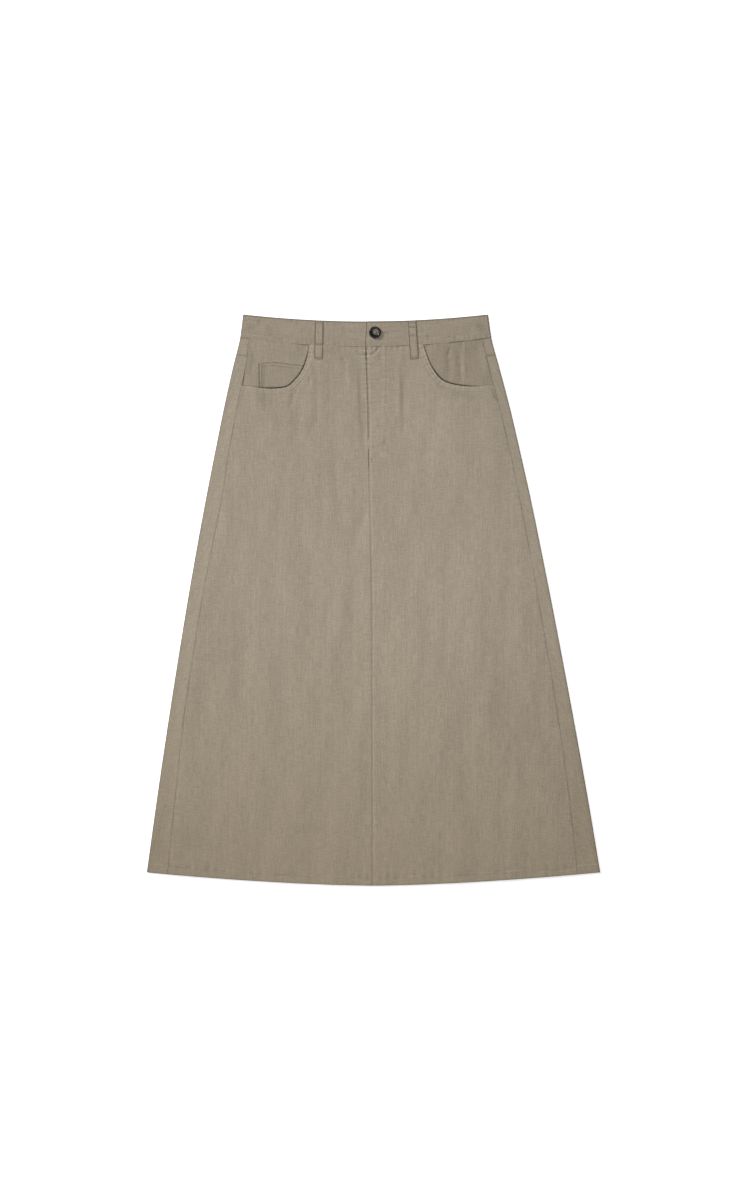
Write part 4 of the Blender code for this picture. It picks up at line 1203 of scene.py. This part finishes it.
def pocket_bag(side_name):
    """Facing and bag in one: a rectangle in across and down whose foot has round corners."""
    share = with_rims(BAG_LENGTH, BAG_COUNT) / BAG_LENGTH
    travel = with_rims(BAG_LENGTH, BAG_COUNT, 0.5)[:, None] / BAG_LENGTH
    bottom = BAG_BOTTOM - BAG_CORNER * np.abs(2 * share - 1) ** BAG_CORNER_POWER
    down = BAND_HEIGHT + (bottom - BAND_HEIGHT) * travel
    inner = SIDES[side_name] * BAG_INNER_EDGE / half(down)
    across = inner + (seam_across(side_name, down) - inner) * share
    x, y = plan(across, down)
    z = bag_height(side_name, across, down)
    from_seam = from_side_seam(side_name, across, down)
    from_inner = np.abs(across - inner) * half(down)
    from_edge = nearest(from_seam, from_inner, down - BAND_HEIGHT, bottom - down)
    at_seam = line_shade(from_seam, *BAG_SEAM_SHADE)
    at_seam = at_seam * (BAG_SEAM_LEAST + (1 - BAG_SEAM_LEAST) * patchy(down))
    at_waist = line_shade(down - BAND_HEIGHT, shown(WAIST_SEAM_SHOWS, x), BAG_WAIST_WIDTH)
    painted_shade = darkest(at_seam, at_waist)
    if side_name == "right":
        from_coin = np.abs(across) * half(down) - COIN_OUTER_EDGE - 0.6
        beside_coin = line_shade(from_coin, *BESIDE_COIN_SHADE) * ease(down, 70, 74)
        painted_shade = darkest(painted_shade + line_relief(PAINTED_SHADES, x, y), beside_coin)
    name = "pocket_bag_cloth_" + side_name
    grain = (x + BAG_GRAIN_START[0], y + BAG_GRAIN_START[1])
    gap = mouth_gap_shade(side_name, x, y)
    mesh = cloth_shell(name, x, y, z, grain, BAG_WALL, from_edge, painted_shade, gap)
    return placed(name, mesh, BAG_CLOTHS[side_name], "pocket_bag_" + side_name)


def coin_top(out):
    """Down value of the coin pocket's top edge, by how far out it lies."""
    return through(*COIN_TOP_EDGE.T, out)


def on_coin(out, down):
    """A place on the coin pocket, from how far out it lies and its down value."""
    across = -out / half(down)
    return *plan(across, down), bag_height("right", across, down) + COIN_SEAT + CLOTH_WALL


def coin_pocket():
    """A patch that lies on the right bag, its top edge sagging a little at its outer end."""
    width = COIN_OUTER_EDGE - COIN_INNER_EDGE
    places = with_rims(width, COIN_COUNT)
    out = COIN_INNER_EDGE + places
    top = coin_top(out)
    down = top + (COIN_BOTTOM - top) * places[:, None] / width
    x, y, z = on_coin(out, down)
    from_side = np.minimum(out - COIN_INNER_EDGE, COIN_OUTER_EDGE - out)
    from_top = down - top
    for away in (from_side - COIN_ROW, from_top - COIN_TOP_ROW):
        z = z - ROW_DENT * groove(away, ROW_DENT_WIDTH)
    z = z + puckers(from_top, out, *COIN_PUCKERS)
    from_edge = nearest(from_side, from_top, COIN_BOTTOM - down)
    at_side = line_shade(from_side - COIN_ROW, *COIN_ROW_SHADE)
    at_top = line_shade(from_top - COIN_TOP_ROW, *COIN_TOP_SHADE) * patchy(out)
    painted_shade = darkest(line_shade(from_edge, *COIN_EDGE_SHADE), at_side, at_top)
    painted_shade = painted_shade - line_shade(from_side - 2.2, *COIN_PALER) + line_relief(PAINTED_SHADES, x, y) + COIN_DARKER
    grain = (x + COIN_GRAIN_START[0], y + COIN_GRAIN_START[1])
    gap = mouth_gap_shade("right", x, y)
    name = "coin_pocket_cloth"
    mesh = cloth_shell(name, x, y, z, grain, CLOTH_WALL, from_edge, painted_shade, gap)
    return placed(name, mesh, BAG_CLOTHS["right"], "coin_pocket")


pocket_bags = {side_name: pocket_bag(side_name) for side_name in SIDES}
coin_patch = coin_pocket()


def coin_sewing():
    """A row down each side and one along the turned top edge."""
    rows = []
    for out in (COIN_INNER_EDGE + COIN_ROW, COIN_OUTER_EDGE - COIN_ROW):
        rows.append(stitch_row(*on_coin(out, np.linspace(coin_top(out) + 1, COIN_BOTTOM - 1, 30))))
    out = np.linspace(COIN_INNER_EDGE + 7, COIN_OUTER_EDGE - 7, 40)
    rows.append(stitch_row(*on_coin(out, coin_top(out) + COIN_TOP_ROW)))
    return sewing("coin_pocket_sewing", rows)


coin_sewing()

# --- Waistband ----------------------------------------------------------------------
# One long strip of the same cloth, folded double over a fusing, so it is stiffer than the
# panels and stands a little proud of them. It is edge-stitched all round, and its left end
# laps over the right one under the button.

BAND_WALL = 1.6
BAND_ROLL = 2.4
BAND_PROUD = 0.2
BAND_UNDERLAP = 26.0
BAND_LAP = 2.2
BAND_ROWS = (2.0, BAND_HEIGHT - 2.4)  # topstitching, below its top edge
BAND_FRONT_COUNT = 180
BAND_FRONT_LENGTH = 200.0  # only spaces its columns
BAND_BACK_COUNT = 90
BAND_ROLL_COUNT = 11
BAND_ROW_COUNT = 24
BAND_PUCKERS = (0.15, 6, 8)
BAND_TOP_OVER = 2.0  # above this height it is the layer on top
# Lines of painted shade, as on the panels
BAND_SEAM_WIDTH = 1.0
BAND_EDGE_SHADE = (1.5, 1.5)
LAP_SHADE = (0.5, 0.7)
BAND_GRAIN_START = 900.0
BAND_CLOTH = cloth_material("waistband_cloth", (0.328, 0.276, 0.209))


def band_height(across, down):
    """Outer height of the band on top: proud of the panels, dented and sewn down."""
    x, y = plan(across, down)
    relief = line_relief(CREASES, x, y) + ripples(x, y, seed=5, slope=0.022)
    height = upper_form(across, BAND_HEIGHT) + BAND_PROUD + faded(relief, across, down)
    for row in BAND_ROWS:
        away = np.abs(down - row)
        height = height - ROW_DENT * groove(away, ROW_DENT_WIDTH)
        height = height + puckers(away, x + 3 * row, *BAND_PUCKERS)
    return height


def lap_height(across, down):
    """The same on the left, where the band laps over its other end."""
    return band_height(across, down) + lap_rise(across, BAND_HEIGHT, BAND_LAP)


def waistband():
    """From its underlap round the right fold, along the back, round the left fold to the lap."""
    down = with_rims(BAND_HEIGHT, BAND_ROW_COUNT)[:, None]
    edge = 1 - BAND_ROLL / half(down)
    front_line = laid("front_line", down)
    under_end = across_of(front_line + BAND_UNDERLAP, down)
    lap_end = across_of(front_line, down)
    share = with_rims(BAND_FRONT_LENGTH, BAND_FRONT_COUNT)[: 1 - len(RIM_LINES)]
    share = share / share[-1]
    right_front = under_end - (edge + under_end) * share
    left_front = (lap_end + (edge - lap_end) * share)[:, ::-1]
    back = edge * np.linspace(-1, 1, BAND_BACK_COUNT)
    turn = np.pi * np.linspace(0, 1, BAND_ROLL_COUNT)[1:-1]
    left_roll = 1 - BAND_ROLL * (1 - np.sin(turn)) / half(down)
    across = np.concatenate([right_front, -left_roll[:, ::-1], back, left_roll, left_front], axis=1)
    x, y = plan(across, down)
    fold_top = upper_form(1 - BAND_ROLL / half(BAND_HEIGHT), BAND_HEIGHT) + BAND_PROUD
    roll_z = np.broadcast_to(rolled(turn, fold_top), left_roll.shape)
    back_z = BACK_LIFT + faded(np.abs(ripples(*plan(back, down), seed=29)), back, down)
    right_z = band_height(right_front, down)
    z = np.concatenate([right_z, roll_z[:, ::-1], back_z, roll_z, lap_height(left_front, down)], axis=1)

    run = np.concatenate([[0], np.cumsum(np.hypot(np.diff(x[0]), np.diff(z[0])))])
    from_finish = run[-1] - run
    from_edge = nearest(run, from_finish, down, BAND_HEIGHT - down + SEWN)
    on_top = z > BAND_TOP_OVER
    at_seam = line_shade(BAND_HEIGHT - down, shown(WAIST_SEAM_SHOWS, x), BAND_SEAM_WIDTH)
    at_fold = line_shade(from_fold(across, down), *BAND_EDGE_SHADE) * on_top
    painted_shade = darkest(at_seam, line_shade(down, *BAND_EDGE_SHADE), at_fold)
    painted_shade = darkest(painted_shade + line_relief(PAINTED_SHADES, x, y) * on_top, line_shade(from_finish, *LAP_SHADE))
    painted_shade = painted_shade - line_shade(from_finish - LAP_PALER_AT, *LAP_PALER)
    # Painted shadow in the gap under the lapping end, as at the centre front
    under_lap = (np.arange(len(run)) < right_front.shape[1]) * shown(CENTRE_SHOWS, down)
    offset, gap_width = CENTRE_GAP["right"]
    lap_gap = (under_lap, (x - front_line - offset) / gap_width)
    name = "waistband_cloth"
    grain = (down + BAND_GRAIN_START, run)
    mesh = cloth_shell(name, x, y, z, grain, BAND_WALL, from_edge, painted_shade, lap_gap)
    return placed(name, mesh, BAND_CLOTH, "waistband")


waist = waistband()

BUTTON_X = 2.3
BUTTON_Y = 427.2
SLIT_LEFT = -1.0
SLIT_RIGHT = 20.5
SATIN_PITCH = 0.5
SATIN_REACH = (0.3, 1.7)  # how far from the slit the thread starts and ends
EYELET_SWELL = 0.5  # and how much further round its end
SATIN_RADIUS = 0.26
SATIN_ARCH = 0.14
SLIT_BAR = (3.2, 1.6)  # width and height of the bar at its other end
SLIT_BAR_OFF = 0.8
BAND_ROW_ENDS = (-196, -8, 184)  # X of its top rows: the right end, the lap and the left end
BACK_ROW_ENDS = (-0.98, 0.98)


def on_band_lap(x, y):
    """A path on the lapping end of the band, from its X and Y."""
    return x, y, lap_height(*place_of(x, y))


def band_sewing():
    """Rows along its upper and lower edges, front and back, and one down the lapping end."""
    rows = []
    for row in BAND_ROWS:
        for end, height in enumerate((band_height, lap_height)):
            across = across_of(np.linspace(*BAND_ROW_ENDS[end : end + 2], 220), row)
            rows.append(stitch_row(*plan(across, row), height(across, row)))
        under = np.linspace(*BACK_ROW_ENDS, 300)
        rows.append(stitch_row(*plan(under, row), BACK_LIFT, up=-1.0))
    down = np.linspace(*BAND_ROWS, 24)
    across = across_of(laid("front_line", down) + CENTRE_ROW, down)
    rows.append(stitch_row(*plan(across, down), lap_height(across, down)))
    return sewing("waistband_sewing", rows)


def buttonhole():
    """Close satin stitches square to the slit on both sides and round its eyelet end."""
    straight = np.arange(SLIT_LEFT, SLIT_RIGHT, SATIN_PITCH)
    around = np.linspace(-0.5 * np.pi, 0.5 * np.pi, 16)
    ends = []
    for reach in SATIN_REACH:
        aside = np.full(len(straight), reach)
        swelled = reach + EYELET_SWELL
        x = np.concatenate([straight, straight, SLIT_RIGHT + swelled * np.cos(around)])
        y = np.concatenate([aside, -aside, swelled * np.sin(around)]) + BUTTON_Y
        ends.append(np.stack(on_band_lap(x, y), axis=-1))
    bar = on_band_lap(SLIT_LEFT - SLIT_BAR_OFF, BUTTON_Y)
    bar = bar_tack(*bar, *SLIT_BAR, turn=np.pi / 2, count=8)
    return sewing("buttonhole_sewing", [threads(*ends, radius=SATIN_RADIUS, arch=SATIN_ARCH), bar])


band_sewing()
buttonhole()

# --- Belt loops ---------------------------------------------------------------------
# Two narrow strips, folded to thirteen millimetres and stitched along both edges. Each is
# bar-tacked over the waistband's top edge and again on the panel below it.

LOOP_WIDTH = 13.0
LOOP_WALL = 0.9
LOOP_TOP = 0.4
LOOP_BOTTOM = 59.0
LOOP_ARCH = 0.15
LOOP_SEAT = 0.15
LOOPS = {"belt_loop_right": (-86.9, -88.3), "belt_loop_left": (61.5, 65.5)}  # X of both ends
LOOP_STEP_DOWN = (1.0, 9.0)
LOOP_USUAL = 58.0  # only spaces its rows
LOOP_ROW_COUNT = 64
LOOP_COLUMN_COUNT = 14
LOOP_EDGE_ROW = 1.5
TACKS = {"belt_loop_right": (3.5, 35.5, 56.5), "belt_loop_left": (3.5, 10, 22.5, 56.5)}
LOOP_DENT = (0.14, 0.8)  # under its rows: how deep and how wide
TACK_DENT = (0.35, 2.2)
# Lines of painted shade, as on the panels: round its edge, along its right side and beside a tack
LOOP_EDGE_SHADE = (1.35, 0.9)
LOOP_SIDE_SHADE = (1.9, 1.25)
TACK_SHADE = (0.5, 0.8)
TACK_SHADE_OFF = 1.5
LOOP_PALER = 0.15
LOOP_GRAIN_START = 1500.0
LOOP_STITCH_PITCH = 2.8
LOOP_TACK = (LOOP_WIDTH - 1.6, 1.7)  # width and height
LOOP_TACK_LIFT = 0.05


def loop_place(name, share, travel):
    """Across, down and outer height at a share of a loop's width and a travel along it."""
    x_top, x_bottom = LOOPS[name]
    down = LOOP_TOP + (LOOP_BOTTOM - LOOP_TOP) * travel
    across = across_of(x_top + (x_bottom - x_top) * travel + (share - 0.5) * LOOP_WIDTH, down)
    side_name, band_top = ("left", lap_height) if x_top > 0 else ("right", band_height)
    on_band = band_top(across, np.minimum(down, BAND_HEIGHT))
    on_panel = front_height(side_name, across, np.maximum(down, BAND_HEIGHT))
    over_band = 1 - ease(down - BAND_HEIGHT, *LOOP_STEP_DOWN)
    height = on_panel + (on_band - on_panel) * over_band
    height = height + LOOP_ARCH * np.sin(np.pi * travel) + LOOP_SEAT + LOOP_WALL
    from_side = np.minimum(share, 1 - share) * LOOP_WIDTH
    height = height - LOOP_DENT[0] * groove(from_side - LOOP_EDGE_ROW, LOOP_DENT[1])
    for tack in TACKS[name]:
        height = height - TACK_DENT[0] * groove(down - tack, TACK_DENT[1])
    return across, down, height


def belt_loop(name):
    """A strip lying over the waistband and the panel, arched between its tacks."""
    travel = with_rims(LOOP_USUAL, LOOP_ROW_COUNT)[:, None] / LOOP_USUAL
    share = with_rims(LOOP_WIDTH, LOOP_COLUMN_COUNT) / LOOP_WIDTH
    across, down, z = loop_place(name, share, travel)
    x, y = plan(across, down)
    from_side = np.minimum(share, 1 - share) * LOOP_WIDTH
    from_edge = nearest(from_side, down - LOOP_TOP, LOOP_BOTTOM - down)
    at_edge = line_shade(from_edge, *LOOP_EDGE_SHADE)
    at_side = line_shade(share * LOOP_WIDTH, *LOOP_SIDE_SHADE)
    at_tacks = [line_shade(np.abs(down - tack) - TACK_SHADE_OFF, *TACK_SHADE) for tack in TACKS[name]]
    painted_shade = darkest(at_edge, at_side, *at_tacks) - LOOP_PALER
    grain = (x + LOOP_GRAIN_START, y)
    mesh = cloth_shell(name + "_cloth", x, y, z, grain, LOOP_WALL, from_edge, painted_shade)
    return placed(name + "_cloth", mesh, BAND_CLOTH, name)


belt_loops = {name: belt_loop(name) for name in LOOPS}


def loop_sewing(name):
    """A row along each edge, and the bar tacks across the loop."""
    rows = []
    inset = LOOP_EDGE_ROW / LOOP_WIDTH
    for share in (inset, 1 - inset):
        across, down, z = loop_place(name, share, np.linspace(0.02, 0.98, 60))
        rows.append(stitch_row(*plan(across, down), z, pitch=LOOP_STITCH_PITCH))
    for tack in TACKS[name]:
        across, down, z = loop_place(name, 0.5, (tack - LOOP_TOP) / (LOOP_BOTTOM - LOOP_TOP))
        rows.append(bar_tack(*plan(across, down), z + LOOP_TACK_LIFT, *LOOP_TACK, count=20))
    return sewing(name + "_sewing", rows)


for loop_name, strip in belt_loops.items():
    loop_rows = loop_sewing(loop_name)

# --- Button -------------------------------------------------------------------------
# A nineteen millimetre four-hole button turned from dark horn. Its raised rim is polished,
# its dish is worn to a paler brown, and thread crosses between the holes.

BUTTON_PROFILE = table(
    "radius height",
    [
        (4.6, 2.2), (5.3, 2.24), (6.0, 2.5), (6.6, 2.92), (7.2, 3.16), (7.8, 3.24),
        (8.4, 3.16), (8.9, 2.95), (9.3, 2.6), (9.55, 2.1), (9.6, 1.6), (9.45, 1.0),
        (9.0, 0.5), (8.4, 0.15), (7.6, 0.0), (4.6, 0.0),
    ],
)
BUTTON_STEPS = 64
HUB_RADIUS = 4.6
HUB_TOP = 2.2
HUB_DISH = 0.25
HUB_SHARES = np.array([0.0, 0.25, 0.5, 0.75, 0.92, 1.0])  # rings from its outline to a hole
HOLE_RADIUS = 1.0
HOLE_OFFSET = 1.9
HOLE_LIP = 0.22
HEART_OFFSET = (1.3 * MM, 0.9 * MM, 0)  # the pale heart of the horn is off the middle
DISH_EDGE = (5.6 * MM, 3.6 * MM)
button_seat = upper_form(across_of(BUTTON_X, 18.5), BAND_HEIGHT) + BAND_PROUD + BAND_LAP + 0.3


def quadrant_rim():
    """A quarter of the hub's outline: along one axis, round the circle, back along the other."""
    quarter = np.linspace(0, np.pi / 2, BUTTON_STEPS // 4 + 1)
    arc = HUB_RADIUS * np.stack([np.cos(quarter), np.sin(quarter)], axis=-1)
    along = np.linspace(0, HUB_RADIUS, 9)[:-1, None]
    return np.concatenate([along * [1, 0], arc, (along * [0, 1])[:0:-1]])


def lifted(plane, height):
    """Points of a plane figure at these heights."""
    return np.concatenate([plane, np.broadcast_to(height, plane.shape[:-1])[..., None]], axis=-1)


def hub_quadrant(corner_x, corner_y):
    """A quarter of the pierced middle: top, hole wall and foot, in one run of rings.

    Each ring blends from the quadrant's outline to the circle of the hole, and the walls
    run straight down between the two circles.
    """
    rim = quadrant_rim()
    hole = np.array([HOLE_OFFSET, HOLE_OFFSET])
    ray = rim - hole
    ray = ray / np.linalg.norm(ray, axis=-1, keepdims=True)
    lip = HOLE_RADIUS + HOLE_LIP
    top = rim + (hole + ray * lip - rim) * HUB_SHARES[:, None, None]
    top_z = HUB_TOP - HUB_DISH * (1 - (np.linalg.norm(top, axis=-1) / HUB_RADIUS) ** 2)
    angle = np.linspace(0, np.pi / 2, 4)[1:, None]
    walls = hole + ray * (lip - HOLE_LIP * np.sin(angle))[..., None]
    rings = [lifted(top, top_z), lifted(walls, top_z[-1] - HOLE_LIP * (1 - np.cos(angle)))]
    points = np.concatenate([*rings, lifted(top[::-1], 0.0)]) * [corner_x, corner_y, 1]
    index = np.arange(points.size // 3).reshape(points.shape[:2])
    quads = ring_quads(index)[:, [0, 3, 2, 1]]
    return points.reshape(-1, 3), quads[:, ::-1] if corner_x * corner_y < 0 else quads


def ramp(tree, value, *stops):
    """A colour that runs between two stops, each a place from 0 to 1 and its colour."""
    made = node(tree, "ValToRGB", {"Fac": value})
    for element, (place, colour) in zip(made.color_ramp.elements, stops):
        element.position = place
        element.color = (*colour, 1)
    return made.outputs[0]


def horn_material():
    """Polished dark horn, paler and duller in the dish, with fine grey streaks."""
    material, tree, shader = new_material("horn")
    place = node(tree, "TexCoord").outputs["Object"]
    flat = vector(tree, "SUBTRACT", place, (BUTTON_X * MM, BUTTON_Y * MM, 0))
    flat = vector(tree, "MULTIPLY", flat, (1, 1, 0))
    heart = vector(tree, "SUBTRACT", flat, HEART_OFFSET)
    radius = node(tree, "VectorMath", {0: heart}, operation="LENGTH").outputs["Value"]
    bands = vector(tree, "MULTIPLY", flat, (260, 1500, 1))
    grain = {"Vector": bands, "Scale": 1.0, "Detail": 3.0, "Distortion": 0.8}
    streak = node(tree, "TexNoise", grain).outputs[0]
    reach = {"Value": radius, "From Min": DISH_EDGE[0], "From Max": DISH_EDGE[1]}
    dish = node(tree, "MapRange", reach, interpolation_type="SMOOTHSTEP").outputs[0]
    pale = ramp(tree, streak, (0.32, (0.05, 0.041, 0.030)), (0.62, (0.25, 0.210, 0.155)))
    dark = ramp(tree, streak, (0.35, (0.004, 0.004, 0.004)), (0.75, (0.018, 0.018, 0.019)))
    rough = worked(tree, "MULTIPLY_ADD", dish, 0.20, 0.22)
    finish = {
        "Base Color": node(tree, "Mix", {0: dish, 6: dark, 7: pale}, data_type="RGBA").outputs[2],
        "Roughness": worked(tree, "MULTIPLY_ADD", streak, 0.08, rough),
        "Specular IOR Level": 0.22,
        "Coat Weight": 0.08,
        "Coat Roughness": 0.15,
    }
    feed(tree, shader, finish)
    return material


def horn_button():
    """The turned profile and the four pierced quadrants, welded into one body."""
    turn = np.arange(BUTTON_STEPS) / BUTTON_STEPS * 2 * np.pi
    ring = np.stack([np.cos(turn), np.sin(turn)], axis=-1)
    body = lifted(BUTTON_PROFILE["radius"][:, None, None] * ring, BUTTON_PROFILE["height"][:, None])
    points = [body.reshape(-1, 3)]
    quads = [ring_quads(np.arange(body.size // 3).reshape(body.shape[:2]))]
    for corner in ((1, 1), (-1, 1), (-1, -1), (1, -1)):
        more_points, more_quads = hub_quadrant(*corner)
        quads.append(more_quads + sum(len(part) for part in points))
        points.append(more_points)
    points = np.concatenate(points) + [BUTTON_X, BUTTON_Y, button_seat]
    mesh = quad_mesh("horn_button", points, np.concatenate(quads))
    welded = bmesh.new()
    welded.from_mesh(mesh)
    bmesh.ops.remove_doubles(welded, verts=welded.verts, dist=0.01 * MM)
    bmesh.ops.recalc_face_normals(welded, faces=welded.faces)
    welded.to_mesh(mesh)
    welded.free()
    mesh.shade_smooth()
    return placed("horn_button", mesh, horn_material(), "button")


STRAND_APART = 0.45
STRAND_HEIGHT = 0.35  # above the dish in its middle
STRAND_DIP = 0.9  # and how far it goes down into the holes
STRAND_CROSSING = 0.15  # the second pair lies under the first by this


def button_thread():
    """Strands that cross the dish from hole to hole, three to each pair.

    Each is level in its middle and dips at both ends, as the sixth power of the way there.
    """
    strands = []
    share = np.linspace(-1, 1, 9)
    height = button_seat + HUB_TOP + STRAND_HEIGHT - STRAND_DIP * share**6
    for angle, lift in ((np.pi / 4, STRAND_CROSSING), (-np.pi / 4, 0.0)):
        ahead = np.array([np.cos(angle), np.sin(angle)])
        aside = np.array([-np.sin(angle), np.cos(angle)])
        for apart in (-STRAND_APART, 0.0, STRAND_APART):
            path = ahead * HOLE_OFFSET * np.sqrt(2) * share[:, None] + aside * apart
            middle = lifted(path + [BUTTON_X, BUTTON_Y], height + lift)
            strands.append(threads(middle[:-1], middle[1:] + np.diff(middle, axis=0) * 0.15, arch=0.0))
    return sewing("button_thread", strands)


horn_button()
button_thread()

# --- Zip ----------------------------------------------------------------------------
# The closed zip lies behind the fly, out of sight, and its tapes are sewn to both edges of
# the opening. Its solid is the woven tape itself, which takes the same weave as the cloth.

ZIP_TAPE = cloth_material("zip_tape", (0.250, 0.210, 0.160), slub=0.5, unrolled=False)
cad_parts["fly_zip"].data.materials.clear()
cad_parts["fly_zip"].data.materials.append(ZIP_TAPE)

# --- Table, light and camera --------------------------------------------------------
# A plain white table. A soft-edged sun stands at the upper left, a weak round light hangs
# over the skirt, and the pale room fills the rest. The camera looks straight down from
# four and a half metres.

FRAME_LENGTH = 1920.0
TABLE_DEPTH = -0.05
TABLE_HALF_WIDTH = 40000.0
table_corners = TABLE_HALF_WIDTH * np.array([(-1, -1, 0), (1, -1, 0), (1, 1, 0), (-1, 1, 0)])
table_mesh = quad_mesh("table_top", table_corners + [0, 0, TABLE_DEPTH], np.array([[0, 1, 2, 3]]))
table_white, table_tree, table_shader = new_material("table_white")
table_finish = {"Base Color": (0.93, 0.93, 0.93, 1), "Roughness": 0.9}
table_finish |= {"Emission Color": (1, 1, 1, 1), "Emission Strength": 0.6}
feed(table_tree, table_shader, table_finish)
table_mesh.materials.append(table_white)
added("table_top", table_mesh)

room = bpy.data.worlds.new("room")
room.use_nodes = True
feed(room.node_tree, room.node_tree.nodes["Background"], {"Color": (1, 1, 1, 1), "Strength": 0.08})
bpy.context.scene.world = room

KEY_FROM = np.array([-0.75, 0.48, 0.46])  # the way to the key light
key_data = bpy.data.lights.new("key", "SUN")
key_data.energy = 2.95
key_data.angle = np.radians(14)
added("key", key_data).rotation_euler = Vector(KEY_FROM).to_track_quat("Z", "Y").to_euler()

overhead_data = bpy.data.lights.new("overhead", "AREA")
overhead_data.shape = "DISK"
overhead_data.size = 0.9
overhead_data.energy = 6.4
overhead = added("overhead", overhead_data)
overhead.location = (-0.12, 0.12, 1.05)
overhead.visible_camera = False

camera_data = bpy.data.cameras.new("camera")
camera_data.lens = 85
camera_data.sensor_width = 36
camera_data.clip_end = 100
camera = added("camera", camera_data)
camera.location = (0, 0, FRAME_LENGTH * MM * camera_data.lens / camera_data.sensor_width)
bpy.context.scene.camera = camera
bpy.context.scene.view_settings.view_transform = "Standard"
